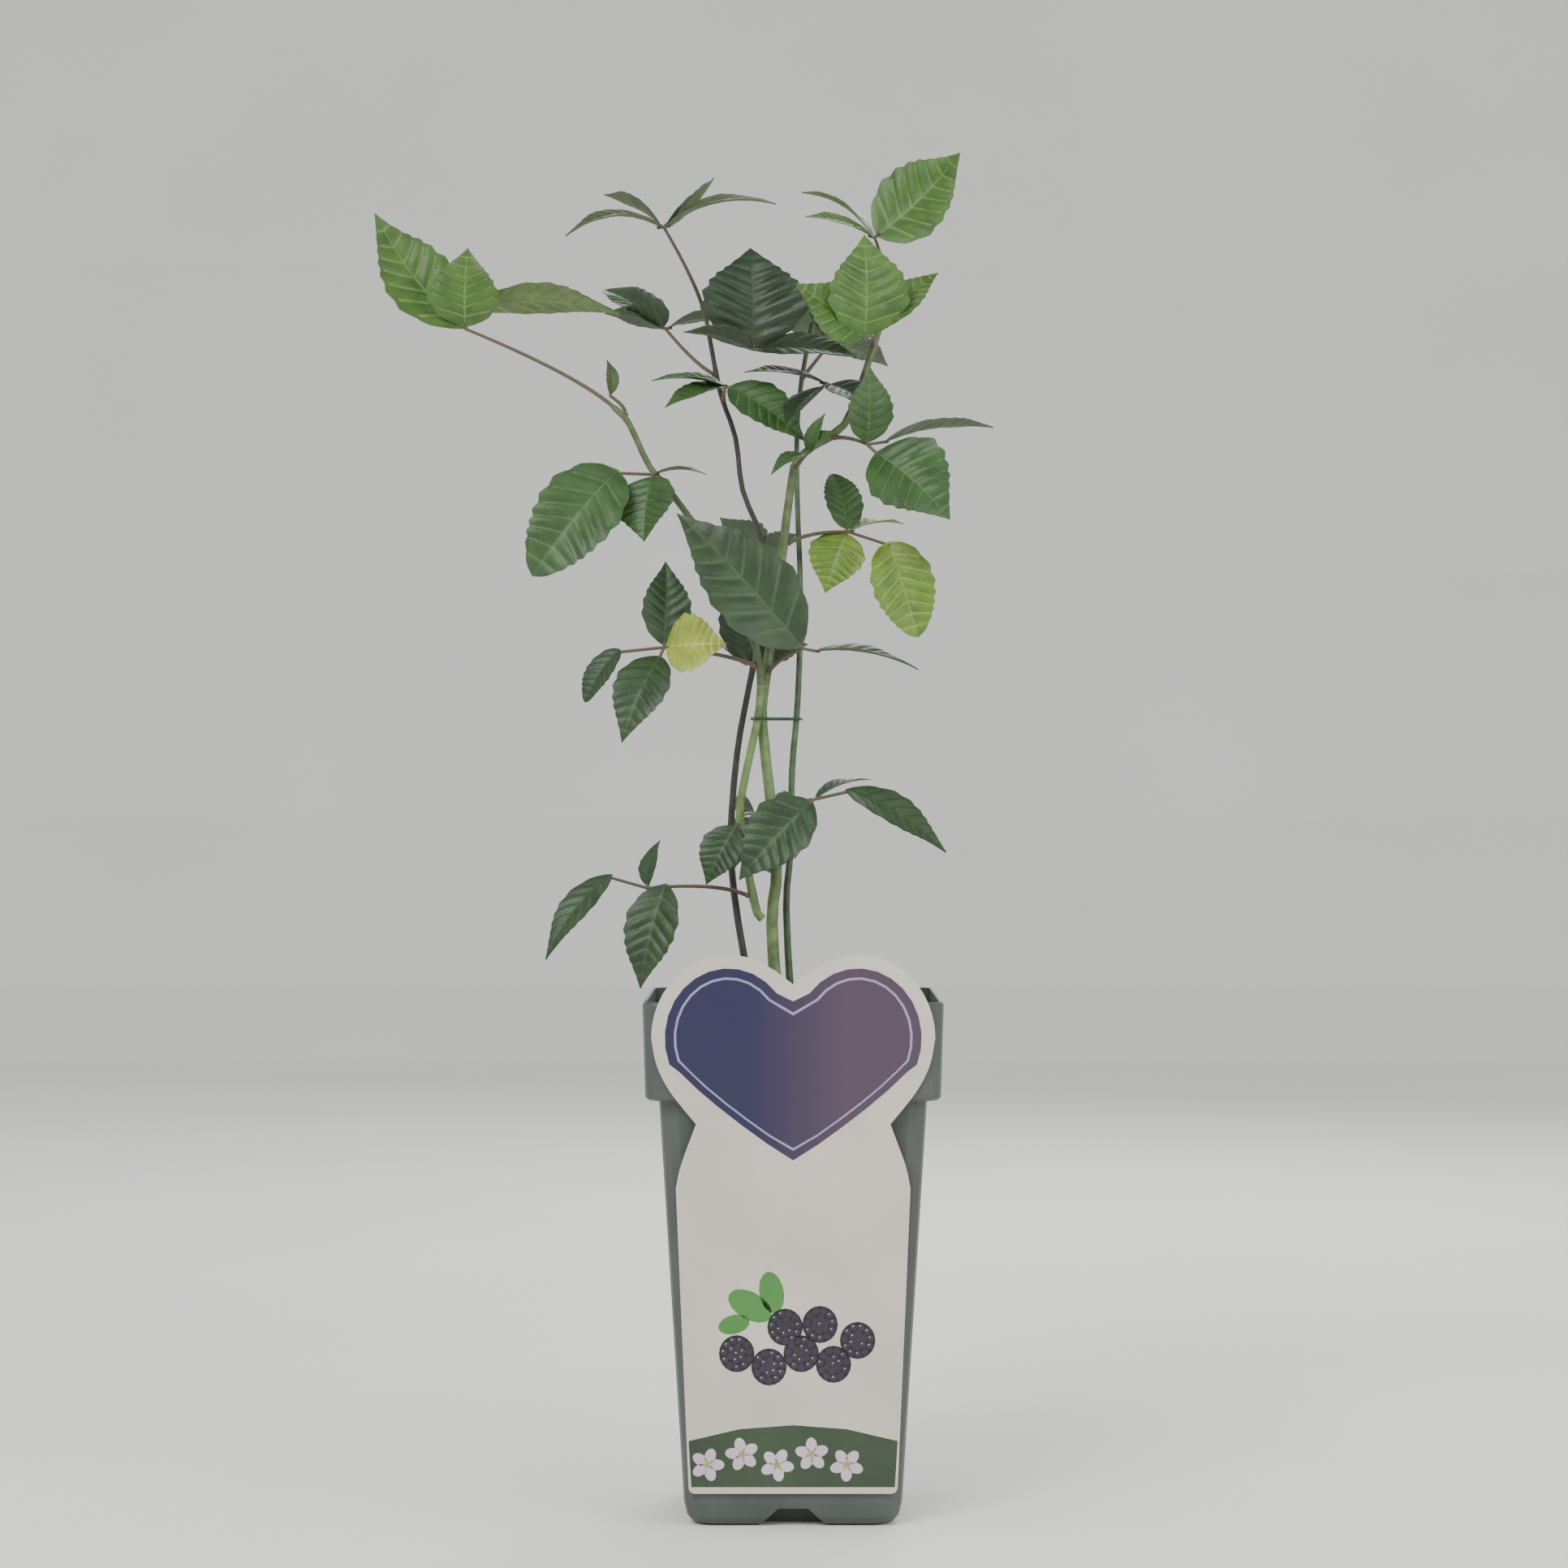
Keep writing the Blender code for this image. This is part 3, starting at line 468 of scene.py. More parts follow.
# The tone of each compound leaf, and of single leaflets that differ from the rest of their leaf.
# The deep and dark tones are partly painted shade: they darken leaves that sit in shade, such as
# leaf_dark, over their own colour.
TONES = {
    "leaf_far_left": "bright", "leaf_upper_left": "dark", "leaf_top": "olive",
    "leaf_crown": "deep", "leaf_under_crown": "deep", "leaf_centre": "mid",
    "leaf_top_right": "bright", "leaf_right_upper": "bright", "leaf_right": "mid",
    "leaf_tip_buds": "mid", "leaf_light": "light", "leaf_left": "mid", "leaf_front": "dark",
    "leaf_yellow": "dark", "leaf_dark": "deep", "leaf_low_right": "dark",
    "leaf_low_centre": "dark", "leaf_low_left": "dark", "leaf_bud_left": "olive",
    "leaf_back_high": "mid", "leaf_back_mid": "dark", "leaf_back_low": "dark",
}
LEAFLET_TONES = {("leaf_yellow", 1): "yellow", ("leaf_light", 0): "mid"}

# For each tone: the lamina, its veins and its underside, as sRGB hex.
TONE_HEX = {
    # The darker steps, deep and dark, are partly the leaves' own colour and partly painted shade.
    "deep": ("1d3019", "2a3f23", "3a4634"),
    "dark": ("213919", "314a25", "3f4c39"),
    "mid": ("2b4a1e", "3f5d28", "4a5842"),
    "bright": ("3b5c1e", "587832", "56683e"),
    "light": ("577620", "738c3b", "687845"),
    "yellow": ("869630", "a8ae55", "7c8747"),
    "olive": ("36471f", "4e5f30", "4d5a3d"),
}

STEM_HEX = {
    "cane_main": "5a7040", "shoot_right": "4f5f38", "cane_left": "2f3128", "shoot_centre": "33302a",
    "cane_right": "3f5236", "shoot_back": "44563a", "cane_branch": "5d7440", "shoot_left": "45512f",
}


def linear(hex_code):
    """An sRGB hex colour as linear red, green, blue and alpha."""
    channels = [int(hex_code[i:i + 2], 16) / 255 for i in (0, 2, 4)]
    return (*(c / 12.92 if c <= 0.04045 else ((c + 0.055) / 1.055) ** 2.4 for c in channels), 1.0)


def add_node(material, kind, links=(), **settings):
    """Adds a node, sets its sockets and properties, and links (output socket, input name) pairs."""
    node = material.node_tree.nodes.new(kind)
    for key, value in settings.items():
        if key in node.inputs:
            node.inputs[key].default_value = value
        else:
            setattr(node, key, value)
    for source, name in links:
        material.node_tree.links.new(source, node.inputs[name])
    return node


def surface(name, hex_code, roughness, spot_mm, spots=0.12, bump=0.15, bump_mm=None, other=None,
            across_mm=None):
    """A material over a fine bump, whose colour drifts to another, or else to a lighter one. It
    drifts in soft spots of a real size, or from left to right over across_mm to each side."""
    material = bpy.data.materials.new(name)
    material.use_nodes = True
    link = material.node_tree.links.new
    shader = material.node_tree.nodes["Principled BSDF"]
    shader.inputs["Roughness"].default_value = roughness
    where = add_node(material, "ShaderNodeTexCoord").outputs["Object"]
    if across_mm:
        split = add_node(material, "ShaderNodeSeparateXYZ", [(where, "Vector")])
        drift = add_node(
            material, "ShaderNodeMapRange", [(split.outputs["X"], "Value")],
            **{"From Min": -across_mm * MM, "From Max": across_mm * MM},
        ).outputs["Result"]
    else:
        drift = add_node(
            material, "ShaderNodeTexNoise", [(where, "Vector")],
            Scale=1 / (spot_mm * MM), Detail=CLOUD_DETAIL,
        ).outputs["Fac"]
    colour = linear(hex_code)[:3]
    near = (*(c * (1 - spots) for c in colour), 1.0)
    lighter = (*(min(1.0, c * (1 + LIGHTER * spots)) for c in colour), 1.0)
    ramp = add_node(material, "ShaderNodeValToRGB", [(drift, "Fac")])
    first, last = ramp.color_ramp.elements
    first.position, first.color = DRIFT_START, near
    last.position, last.color = DRIFT_END, linear(other) if other else lighter
    link(ramp.outputs["Color"], shader.inputs["Base Color"])
    grain = add_node(
        material, "ShaderNodeTexNoise", [(where, "Vector")],
        Scale=1 / ((bump_mm or spot_mm / GRAIN_SHARE) * MM), Detail=GRAIN_DETAIL,
    )
    relief = add_node(
        material, "ShaderNodeBump", [(grain.outputs["Fac"], "Height")],
        Strength=bump, Distance=BUMP_DEPTH * MM,
    )
    link(relief.outputs["Normal"], shader.inputs["Normal"])
    return material


def finished(name, bm, materials, node, replaces=True):
    """Links a bmesh in millimetres as a piece that rides on the root. It stands for the node it is
    given, or only lies over it."""
    bmesh.ops.scale(bm, vec=(MM, MM, MM), verts=bm.verts)
    mesh = bpy.data.meshes.new(name)
    bm.to_mesh(mesh)
    bm.free()
    for material in materials:
        mesh.materials.append(material)
    mesh.shade_smooth()
    mesh.set_sharp_from_angle(angle=SHARP_ANGLE)
    obj = bpy.data.objects.new(name, mesh)
    bpy.context.scene.collection.objects.link(obj)
    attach(obj, "root")
    if replaces:
        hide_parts(node)


def smooth(points, steps=3):
    """A Catmull-Rom curve through the points."""
    ends = [2 * points[0] - points[1], *points, 2 * points[-1] - points[-2]]
    curve = []
    for a, b, c, d in zip(ends, ends[1:], ends[2:], ends[3:]):
        for step in range(steps):
            t = step / steps
            curve.append(0.5 * (
                2 * b + (c - a) * t + (2 * a - 5 * b + 4 * c - d) * t * t
                + (3 * b - a - 3 * c + d) * t * t * t
            ))
    return curve + [points[-1]]


def limb(bm, path, radii, sides, ribs=0.0, rounded_tip=False):
    """Sweeps a circle along a path into the bmesh, as a closed tapering limb."""
    along = (path[1] - path[0]).normalized()
    across = along.orthogonal().normalized()
    rings = []
    for i, (place, radius) in enumerate(zip(path, radii)):
        along = (path[min(i + 1, len(path) - 1)] - path[max(i - 1, 0)]).normalized()
        across = (across - along * across.dot(along)).normalized()
        turned = Matrix((across, along.cross(across), along)).transposed().to_4x4()
        ring = bmesh.ops.create_circle(bm, cap_ends=False, segments=sides, radius=radius)["verts"]
        for vert in ring:
            angle = math.atan2(vert.co.y, vert.co.x)
            vert.co *= 1 + ribs * math.cos(STEM_RIBS * angle)
            vert.co = turned @ vert.co + place
        rings.append(ring)
    for lower, upper in zip(rings, rings[1:]):
        edges = {edge for ring in (lower, upper) for vert in ring for edge in vert.link_edges
                 if edge.other_vert(vert) in ring}
        bmesh.ops.bridge_loops(bm, edges=list(edges))
    for ring in (rings[0], rings[-1]):
        bmesh.ops.contextual_create(bm, geom=ring)
    if rounded_tip:
        ball = bmesh.ops.create_icosphere(bm, subdivisions=2, radius=radii[-1] * TIP_BALL)["verts"]
        bmesh.ops.translate(bm, vec=path[-1], verts=ball)


def cut_at(path, radii, height, above):
    """The part of a rising path above or below a height, with a point on the cut."""
    for i, (a, b) in enumerate(zip(path, path[1:])):
        if a.z <= height < b.z:
            share = (height - a.z) / (b.z - a.z)
            place, radius = a.lerp(b, share), radii[i] + (radii[i + 1] - radii[i]) * share
            if above:
                return [place] + path[i + 1:], [radius] + radii[i + 1:]
            return path[:i + 1] + [place], radii[:i + 1] + [radius]
    raise ValueError(f"no point of the path is at height {height}")


def at_height(stem, height):
    """The axis point, direction and radius of a stem at a height, or at the tip for None."""
    path, radii = stem
    if height is None:
        return path[-1], (path[-1] - path[-2]).normalized(), radii[-1]
    upper, upper_radii = cut_at(path, radii, height, above=True)
    return upper[0], (upper[1] - upper[0]).normalized(), upper_radii[0]


def foot_on(stem, height, towards, own_radius, climb=STALK_CLIMB):
    """Where a side limb starts, just clear of the limb that carries it, and the way it sets off."""
    axis, along, radius = at_height(stem, height)
    if height is None:
        return axis + along * GAP, along
    out = towards - axis
    out = (out - along * out.dot(along)).normalized()
    heading = (out + along * climb).normalized()
    tilt = math.sqrt(1 - heading.dot(out) ** 2)
    return axis + out * (radius + GAP + FOOT_CLEAR + own_radius * tilt), heading


def grow_stems():
    """The path and radii of each cane and shoot, by name."""
    stems = {}
    for stem in STEMS:
        route = [placed(*place) for place in stem["route"]]
        foot_radius, tip_radius = stem["foot_radius"], stem["tip_radius"]
        if stem["parent"]:
            parent, height = stem["parent"]
            foot, heading = foot_on(stems[parent], height, route[0], foot_radius, BRANCH_CLIMB)
            route.insert(0, foot + heading * BRANCH_STRAIGHT)
            flare = 0.0
        else:
            route[0].z = COMPOST_TOP + GAP
            foot = route[0].copy()
            route[0].z += FOOT_STRAIGHT
            flare = FLARE
        path = [foot] + smooth(route)
        runs = [0.0]
        for a, b in zip(path, path[1:]):
            runs.append(runs[-1] + (b - a).length)
        radii = [
            foot_radius + (tip_radius - foot_radius) * run / runs[-1]
            + flare * math.exp(-run / FLARE_HEIGHT)
            for run in runs
        ]
        stems[stem["cane"]] = cut_at(path, radii, SPLIT_HEIGHT - GAP / 2, above=False)
        stems[stem["shoot"]] = cut_at(path, radii, SPLIT_HEIGHT + GAP / 2, above=True)
    return stems


def bark_path(path, radii, feet):
    """A stem's path in finer steps and the bark's radii along it, thicker at the leaves' feet."""
    fine_path, fine_radii = [], []
    for i, (a, b) in enumerate(zip(path, path[1:])):
        steps = max(1, round((b - a).length / BARK_STEP))
        for step in range(steps):
            share = step / steps
            place = a.lerp(b, share)
            swell = sum(
                NODE_SWELL * math.exp(-((place.z - foot) / NODE_REACH) ** 2) for foot in feet
            )
            radius = radii[i] + (radii[i + 1] - radii[i]) * share
            fine_path.append(place)
            fine_radii.append(radius * (BARK_SHARE + swell))
    # The bark closes the clear gap that the solids keep between a cane and its shoot.
    fine_path.append(path[-1] + (path[-1] - path[-2]).normalized() * GAP)
    fine_radii.append(radii[-1] * BARK_TIP_SHARE)
    return fine_path, fine_radii


def dress_stems(stems):
    """Ribbed, slightly knotted bark on each cane and shoot."""
    for name, (path, radii) in stems.items():
        feet = [leaf["foot"] for leaf in LEAVES.values() if leaf["stem"] == name and leaf["foot"]]
        bm = bmesh.new()
        limb(bm, *bark_path(path, radii, feet), STEM_SIDES, ribs=RIB)
        # Green bramble bark: smooth, faintly ribbed, satin, flecked with paler breathing pores.
        bark = surface(
            f"bramble_bark_{name}", STEM_HEX[name], roughness=0.42, spot_mm=5.0, spots=0.22,
            bump=0.35, bump_mm=0.5,
        )
        finished(f"{name}_bark", bm, [bark], name)


def half_width(t, blunt):
    """A blade's half width along its length, as a share of its widest."""
    early, full = BLUNT_POWERS if blunt else POINTED_POWERS
    share = math.sin(math.pi * t ** early) ** full
    if blunt:
        return share
    return share * (1 - POINT_NARROWER * max(0.0, t - POINT_START) / (1 - POINT_START))


def blade_frame(midrib, facing):
    """The way the upper face looks and the way across the blade, for a midrib direction."""
    front = Vector((0, -1, 0))
    front = (front - midrib * front.dot(midrib)).normalized()
    side = midrib.cross(front)
    if side.z < UPWARD_LEAST:
        side = -side
    turn = math.radians(facing)
    face = (front * math.cos(turn) + side * math.sin(turn)).normalized()
    return face, midrib.cross(face)


def row_share(row):
    """How far along the blade a row of points lies, and how far from one side vein to the next:
    a narrow row for each vein, then wide ones."""
    pair, place = divmod(row, VEIN_ROWS)
    within = 0.0
    if place:
        within = VEIN_SHARE + (1 - VEIN_SHARE) * (place - 1) / (VEIN_ROWS - 1)
    return (pair + within) / VEIN_PAIRS, within


def tooth(within):
    """How far the edge stands out, or in, between two side veins, as a share of the half width."""
    saw = within if within < TOOTH_PEAK else TOOTH_FALL * (1 - within)
    return TOOTH * (2 * saw - TOOTH_LEVEL)


def add_blade(bm, base, tip, row, tone_slot, rng):
    """One leaflet: pleated between slanting side veins, folded at the midrib, doubly toothed."""
    length = (tip - base).length
    midrib = (tip - base) / length
    face, across = blade_frame(midrib, row["facing"])
    start = base - midrib * ROOT_SUNK
    phase = rng.uniform(0, 2 * math.pi)
    rows, columns = VEIN_PAIRS * VEIN_ROWS, len(COLUMNS) - 1
    blade = bmesh.new()
    bmesh.ops.create_grid(blade, x_segments=columns, y_segments=rows, size=1)
    for part in blade.faces:
        centre = part.calc_center_median()
        column = int((centre.x + 1) / 2 * columns)
        side_vein = int((centre.y + 1) / 2 * rows) % VEIN_ROWS == 0 and 0 < column < columns - 1
        on_vein = side_vein or column == MIDRIB_COLUMN
        part.material_index = tone_slot + (VEIN if on_vein else LAMINA)
    for vert in blade.verts:
        u = COLUMNS[round((vert.co.x + 1) / 2 * columns)]
        t, within = row_share(round((vert.co.y + 1) / 2 * rows))
        out = abs(u)
        along = min(1.0, t + VEIN_SLANT * out * math.sin(math.pi * t) * (1 - t))
        wing = max(row["width"] / 2 * half_width(along, row["blunt"]), WING_LEAST)
        reach = u * (1 + tooth(within)) if out == 1 else u
        pleat = math.sin(math.pi * within) * math.sin(math.pi * min(out, PLEAT_END)) ** PLEAT_POWER
        wave = out * out * math.sin(phase + WAVE_TURN * t + (WAVE_SHIFT if u > 0 else 0))
        rise = wing * (BLADE_FOLD * out + PLEAT * pleat + WAVE * wave)
        middle = start + (tip - start) * along + face * (4 * row["arch"] * along * (1 - along))
        vert.co = middle + across * (wing * reach) + face * rise
    blade.normal_update()
    if sum((part.normal for part in blade.faces), Vector()).dot(face) <= 0:
        bmesh.ops.reverse_faces(blade, faces=blade.faces)
    thick = max(BLADE_THICKNESS * length, BLADE_THINNEST)
    bmesh.ops.solidify(blade, geom=list(blade.faces), thickness=thick)
    blade.normal_update()
    bmesh.ops.recalc_face_normals(blade, faces=blade.faces)
    for part in blade.faces:
        if part.normal.dot(face) < UNDER_LIMIT and part.material_index != tone_slot + VEIN:
            part.material_index = tone_slot + UNDERSIDE
    mesh = bpy.data.meshes.new("blade")
    blade.to_mesh(mesh)
    blade.free()
    bm.from_mesh(mesh)
    bpy.data.meshes.remove(mesh)


def leaf_materials():
    """For each tone the lamina, vein and underside materials, in that order."""
    made = {}
    for tone, (lamina, vein, under) in TONE_HEX.items():
        # A bramble's upper leaf face is satin, with a finely wrinkled net between the veins.
        made[tone] = [
            surface(f"leaf_lamina_{tone}", lamina, roughness=0.46,
                    spot_mm=9, spots=0.16, bump=0.6, bump_mm=0.9),
            surface(f"leaf_vein_{tone}", vein, roughness=0.5,
                    spot_mm=6, spots=0.1, bump=0.2, bump_mm=0.6),
            surface(f"leaf_underside_{tone}", under, roughness=0.75,
                    spot_mm=7, spots=0.1, bump=0.5, bump_mm=0.8),
        ]
    return made


def petiole(foot, heading, joint):
    """The path and radii of a leaf's stalk, which bends from its heading to the leaflets' joint."""
    reach = (joint - foot).length
    bend = foot + heading * min(BEND_START + BEND_SHARE * reach, BEND_MOST * reach)
    # The stalk starts inside the bark that carries it, over a small swollen base.
    path, radii = [foot - heading * PETIOLE_SUNK], [PETIOLE_RADIUS * PETIOLE_BASE]
    for step in range(PETIOLE_STEPS + 1):
        t = step / PETIOLE_STEPS
        path.append(foot * (1 - t) ** 2 + bend * (2 * t * (1 - t)) + joint * t ** 2)
        radii.append(PETIOLE_RADIUS + (STALK_RADIUS - PETIOLE_RADIUS) * t)
    return path, radii


def leaflet_ends(joint, row):
    """Where a leaflet's blade starts and ends. Its length counts from the joint, or from the end
    of its own stalk where that has another turn."""
    across, up, back = joint
    turn = math.radians(row["turn"])
    bent = row["stalk_turn"] is not None
    stalk_turn = math.radians(row["stalk_turn"]) if bent else turn
    stalk_across = row["stalk"] * math.cos(stalk_turn)
    stalk_up = row["stalk"] * math.sin(stalk_turn)
    share = row["stalk"] / (row["stalk"] + row["length"])
    base = placed(across + stalk_across, up + stalk_up, back + row["back"] * share)
    tip = placed(
        across + row["length"] * math.cos(turn) + (stalk_across if bent else 0),
        up + row["length"] * math.sin(turn) + (stalk_up if bent else 0),
        back + row["back"],
    )
    return base, tip


def dress_leaf(name, leaf, stems, tones, stalk_skin, rng):
    """The stalks and the blades of one compound leaf, as two pieces."""
    joint = placed(*leaf["joint"])
    foot, heading = foot_on(stems[leaf["stem"]], leaf["foot"], joint, PETIOLE_RADIUS)
    stalks, blades = bmesh.new(), bmesh.new()
    limb(stalks, *petiole(foot, heading, joint), PETIOLE_SIDES, rounded_tip=True)
    own = [LEAFLET_TONES.get((name, i), TONES[name]) for i in range(len(leaf["leaflets"]))]
    used = sorted(set(own))
    for row, tone in zip(leaf["leaflets"], own):
        base, tip = leaflet_ends(leaf["joint"], row)
        inner = joint - (base - joint).normalized() * STALK_OVERLAP
        limb(stalks, [inner, inner.lerp(base, 0.5), base], [STALK_RADIUS] * 3, STALK_SIDES,
             rounded_tip=True)
        add_blade(blades, base, tip, row, len(tones[tone]) * used.index(tone), rng)
    finished(f"{name}_stalks", stalks, [stalk_skin], name)
    finished(f"{name}_blades", blades, [m for tone in used for m in tones[tone]], name)


def dress_compost():
    """Crumbly peat from a little under the rim's shadow down, in place of the flat block."""
    bm = bmesh.new()
    bmesh.ops.create_grid(
        bm, x_segments=COMPOST_CELLS, y_segments=COMPOST_CELLS, size=COMPOST_HALF,
    )
    for vert in bm.verts:
        near, far = sorted(abs(side) / COMPOST_HALF for side in vert.co.xy)
        spread = Vector((vert.co.x, vert.co.y, 0))
        spread *= 1 - CORNER_DRAW * max(0.0, near - CORNER_START) / (1 - CORNER_START)
        bumps = noise.noise(spread / CRUMB_SIZE)
        bumps += FINE_HEIGHT * noise.noise(spread / (CRUMB_SIZE * FINE_SIZE))
        level = COMPOST_TOP - CRUMB_HEIGHT - SAG * far ** SAG_POWER
        vert.co = (spread.x, spread.y, level + CRUMB_HEIGHT * bumps)
    rim = [edge for edge in bm.edges if edge.is_boundary]
    wall = bmesh.ops.extrude_edge_only(bm, edges=rim)["geom"]
    for item in wall:
        if isinstance(item, bmesh.types.BMVert):
            item.co.z = COMPOST_TOP - COMPOST_DEEP
    bmesh.ops.contextual_create(bm, geom=[edge for edge in bm.edges if edge.is_boundary])
    bmesh.ops.recalc_face_normals(bm, faces=bm.faces)
    # Moist peat: near black brown, matt, with paler fibre in it.
    peat = surface(
        "peat_compost", "2b211a", roughness=0.95, spot_mm=2.2, spots=0.35, bump=1.0, bump_mm=0.7,
        other="4a3a2c",
    )
    finished("compost_crumbs", bm, [peat], "compost")


def card_back(z):
    """The y of the card's back at a height."""
    return -COLLAR_HALF - GAP - (z - COLLAR_BOTTOM - 1) * math.tan(CARD_LEAN)


def add_plate(bm, outline, over, thickness):
    """A plate that leans like the card, from a closed outline of (x, z) points. It starts this far
    over the card's back."""
    back = [bm.verts.new((x, card_back(z) - over, z)) for x, z in outline]
    flat = bmesh.ops.contextual_create(bm, geom=back)["faces"]
    flat = bmesh.ops.triangulate(bm, faces=flat)["faces"]
    front = bmesh.ops.extrude_face_region(bm, geom=flat)["geom"]
    moved = [item for item in front if isinstance(item, bmesh.types.BMVert)]
    bmesh.ops.translate(bm, vec=(0, -thickness, 0), verts=moved)


def heart(inset):
    """The outline of the printed heart, drawn in from the card's edge by an inset."""
    lobe = HEART_HALF - LOBE_CENTRE - inset
    points = [(0.0, CARD_NOTCH - NOTCH_INSET * inset)]
    for step in range(PRINT_LOBE_POINTS):
        angle = math.radians(PRINT_LOBE_START - PRINT_LOBE_TURN * step)
        points.append((
            LOBE_CENTRE + lobe * math.cos(angle),
            HEART_WIDEST + (CARD_TOP - HEART_WIDEST - inset) * math.sin(angle),
        ))
    for step in range(1, SIDE_STEPS):
        share = step / SIDE_STEPS
        across = (LOBE_CENTRE + lobe - SIDE_NARROWER) * (1 - share ** SIDE_BULGE)
        points.append((across, SIDE_TOP - (SIDE_TOP - HEART_TIP - inset) * share))
    points.append((0.0, HEART_TIP + inset * TIP_INSET))
    return points + [(-x, z) for x, z in reversed(points[1:-1])]


def oval(middle_x, middle_z, half_x, half_z, turn=0, count=14):
    """An oval outline, turned anticlockwise by some degrees."""
    cos, sin = math.cos(math.radians(turn)), math.sin(math.radians(turn))
    points = []
    for step in range(count):
        angle = 2 * math.pi * step / count
        x, z = half_x * math.cos(angle), half_z * math.sin(angle)
        points.append((middle_x + x * cos - z * sin, middle_z + x * sin + z * cos))
    return points


def printed(name, outlines, layer, material):
    """A thin layer of print on the card's front, from closed outlines of (x, z) points."""
    bm = bmesh.new()
    for outline in outlines:
        add_plate(bm, outline, CARD_THICKNESS + INK * (layer - 1), INK)
    bmesh.ops.recalc_face_normals(bm, faces=bm.faces)
    finished(name, bm, [material], "care_card", replaces=False)


def ink(name, hex_code, other=None, across_mm=None):
    """Offset print under a satin film."""
    return surface(
        f"printed_ink_{name}", hex_code, roughness=0.35, spot_mm=30, spots=0.06, bump=0.03,
        other=other, across_mm=across_mm,
    )


def print_heart():
    """A heart that goes from violet to mauve, with a pale line inside its edge."""
    violet = ink("violet", "1c1b43", other="483749", across_mm=HEART_HALF)
    whole, line, field = (heart(inset) for inset in HEART_INSETS)
    printed("card_heart", [whole], 1, violet)
    printed("card_heart_line", [line], 2, ink("lilac", "8f88ab"))
    printed("card_heart_field", [field], 3, violet)


def print_berries(rng):
    """A bunch of dark berries, each of shaded drupelets, some of them with a glint."""
    fruit, drupelets, glints = [], [], []
    for x, z in BERRIES:
        fruit.append(oval(x, z, BERRY_HALF, BERRY_HALF * BERRY_TALL, count=20))
        for ring, count in DRUPELET_RINGS:
            for step in range(count):
                angle = 2 * math.pi * step / count + ring
                middle_x = x + ring * BERRY_HALF * math.cos(angle)
                middle_z = z + ring * BERRY_HALF * BERRY_TALL * math.sin(angle)
                drupelets.append(oval(middle_x, middle_z, DRUPELET_HALF, DRUPELET_HALF, count=8))
                if rng.random() < GLINT_CHANCE:
                    right, up = GLINT_OFFSET
                    glints.append(oval(middle_x + right, middle_z + up, *GLINT_HALVES, count=6))
    printed("card_berries", fruit, 2, ink("berry_shadow", "141219"))
    printed("card_drupelets", drupelets, 3, ink("drupelet", "2a2531", other="3a3242"))
    printed("card_glints", glints, 4, ink("glint", "a9a5b2"))


def print_blossom():
    """A row of five-petalled flowers, each turned a little further than the one before."""
    petals, middles = [], []
    for number, (x, z) in enumerate(FLOWERS):
        for petal in range(PETALS):
            turn = 360 / PETALS * petal + FLOWER_TURN * number
            angle = math.radians(turn)
            middle_x, middle_z = x + PETAL_OUT * math.cos(angle), z + PETAL_OUT * math.sin(angle)
            petals.append(oval(middle_x, middle_z, *PETAL_HALVES, turn, count=12))
        middles.append(oval(x, z, STAMENS_HALF, STAMENS_HALF, count=10))
    printed("card_petals", petals, 2, ink("petal", "d9cbd2", other="c4b0bf"))
    printed("card_petal_middles", middles, 3, ink("stamens", "8f9a55"))


def print_card(rng):
    """A plain picture label: a violet heart over a bunch of dark berries and a band of blossom."""
    print_heart()
    printed("card_body_band", [BAND], 1, ink("leaf_band", "3a4f33", other="2c3d2a"))
    sprig = [oval(*leaf) for leaf in SPRIG]
    printed("card_sprig", sprig, 1, ink("sprig", "4a8a3c", other="3d7434"))
    print_berries(rng)
    print_blossom()


def dress_card_stock():
    """The card itself with its hook, in the solid's outline drawn smoothly."""
    half = [NOTCH_SIDE]
    for degrees in LOBE_ANGLES:
        angle = math.radians(degrees)
        half.append((
            LOBE_CENTRE + (HEART_HALF - LOBE_CENTRE) * math.cos(angle),
            HEART_WIDEST + (CARD_TOP - HEART_WIDEST) * math.sin(angle),
        ))
    for bend in ((half[-1], *FLANK), SHOULDER):
        curve = smooth([Vector((*place, 0)) for place in bend], CURVE_STEPS)
        half += [(point.x, point.y) for point in curve[1:]]
    half += HEM
    bm = bmesh.new()
    outline = [(0.0, CARD_NOTCH), *half, *((-x, z) for x, z in reversed(half))]
    add_plate(bm, outline, 0, CARD_THICKNESS)
    rim = POT_HEIGHT + GAP
    root = card_back(rim) - CARD_THICKNESS / 2
    inside = -(COLLAR_HALF - POT_WALL)
    for near, far, low, high in (
        (root, inside + HOOK_THICKNESS, rim, rim + HOOK_THICKNESS),
        (inside, inside + HOOK_THICKNESS, rim - HOOK_DROP, rim + HOOK_THICKNESS / 2),
    ):
        strap = bmesh.ops.create_cube(bm, size=1)["verts"]
        bmesh.ops.scale(bm, vec=(2 * HOOK_HALF, far - near, high - low), verts=strap)
        bmesh.ops.translate(bm, vec=(0, (near + far) / 2, (low + high) / 2), verts=strap)
    bmesh.ops.recalc_face_normals(bm, faces=bm.faces)
    # White card stock under a satin film.
    stock = surface("laminated_card", "c4bdb0", roughness=0.38, spot_mm=40, spots=0.04, bump=0.04)
    finished("card_stock", bm, [stock], "care_card")


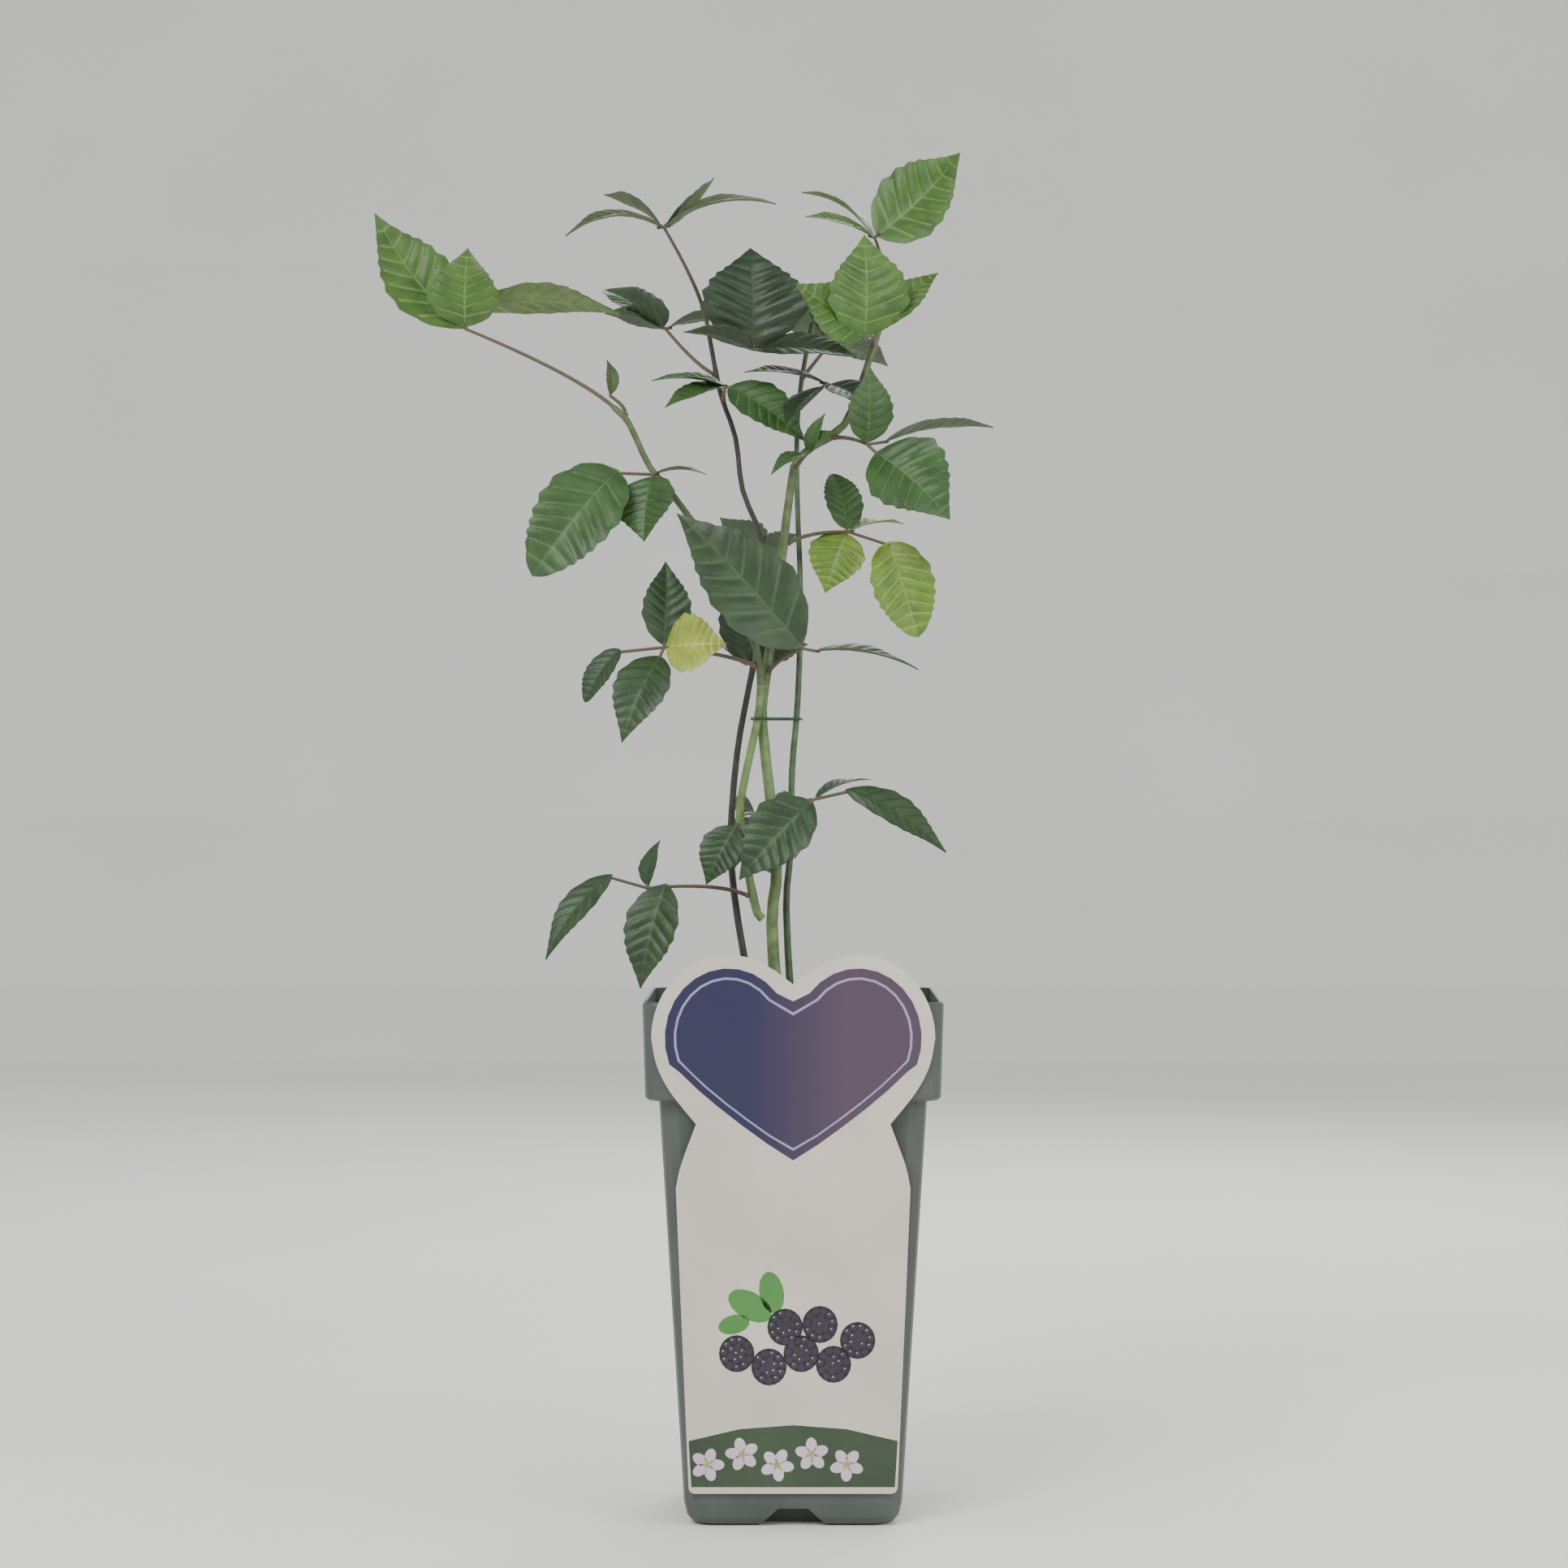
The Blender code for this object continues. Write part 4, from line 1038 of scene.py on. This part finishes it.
def dress_kept_nodes():
    """Materials for the solids that stay: the pot and the tie."""
    kept = {
        # Recycled polypropylene, injection moulded: grey-green, matt, with handling scuffs.
        "pot": surface(
            "moulded_polypropylene", "454c48", roughness=0.5, spot_mm=26, spots=0.08, bump=0.25,
            bump_mm=0.6, other="4b524d",
        ),
        # Soft plastic over wire.
        "tie": surface("coated_wire", "2f4a36", roughness=0.45, spot_mm=2, spots=0.15, bump=0.1),
    }
    for name, material in kept.items():
        for slot in bpy.data.objects[name].material_slots:
            slot.material = material


def area_light(name, place, size, power):
    """A disk light that looks at the plant's middle."""
    light = bpy.data.lights.new(name, "AREA")
    light.shape = "DISK"
    light.size = size * MM
    light.energy = power
    obj = bpy.data.objects.new(name, light)
    obj.location = Vector(place) * MM
    obj.rotation_euler = (Vector(LIGHT_AIM) - Vector(place)).to_track_quat("-Z", "Y").to_euler()
    bpy.context.scene.collection.objects.link(obj)


def lay_floor():
    """A pale floor that curves up far behind the pot."""
    bm = bmesh.new()
    bmesh.ops.create_grid(bm, x_segments=1, y_segments=FLOOR_ROWS, size=FLOOR_HALF)
    for vert in bm.verts:
        beyond = max(0.0, vert.co.y - BACKDROP_START) / BACKDROP_BEND
        vert.co.z = BACKDROP_BEND * beyond ** 2
    bmesh.ops.scale(bm, vec=(MM, MM, MM), verts=bm.verts)
    mesh = bpy.data.meshes.new("floor")
    bm.to_mesh(mesh)
    bm.free()
    paint = surface("painted_floor", "f3f2ef", roughness=0.9, spot_mm=300, spots=0.01, bump=0.02)
    mesh.materials.append(paint)
    floor = bpy.data.objects.new("floor", mesh)
    bpy.context.scene.collection.objects.link(floor)


def set_stage():
    """The floor, soft lights, a pale sky and a camera where the eye was."""
    lay_floor()
    for name, (place, size, power) in LIGHTS.items():
        area_light(name, place, size, power)
    world = bpy.data.worlds.new("studio")
    world.use_nodes = True
    background = world.node_tree.nodes["Background"]
    background.inputs["Color"].default_value = linear("f4f5f7")
    background.inputs["Strength"].default_value = SKY_STRENGTH
    bpy.context.scene.world = world
    camera = bpy.data.cameras.new("camera")
    camera.lens = LENS
    camera.sensor_width = SENSOR_WIDTH
    eye = bpy.data.objects.new("camera", camera)
    eye.location = Vector((EYE_ACROSS, -EYE_DISTANCE, EYE_HEIGHT)) * MM
    eye.rotation_euler = (math.radians(90), 0, 0)
    bpy.context.scene.collection.objects.link(eye)
    bpy.context.scene.camera = eye


def main():
    set_stage()
    dress_kept_nodes()
    dress_compost()
    rng = random.Random(SEED)
    dress_card_stock()
    print_card(rng)
    stems = grow_stems()
    dress_stems(stems)
    tones = leaf_materials()
    # Leaf stalks are green flushed with reddish brown.
    stalk_skin = surface(
        "leaf_stalk_skin", "4a5236", roughness=0.5, spot_mm=6, spots=0.2, bump=0.2, other="5b4636",
    )
    for name, leaf in LEAVES.items():
        dress_leaf(name, leaf, stems, tones, stalk_skin, rng)


main()
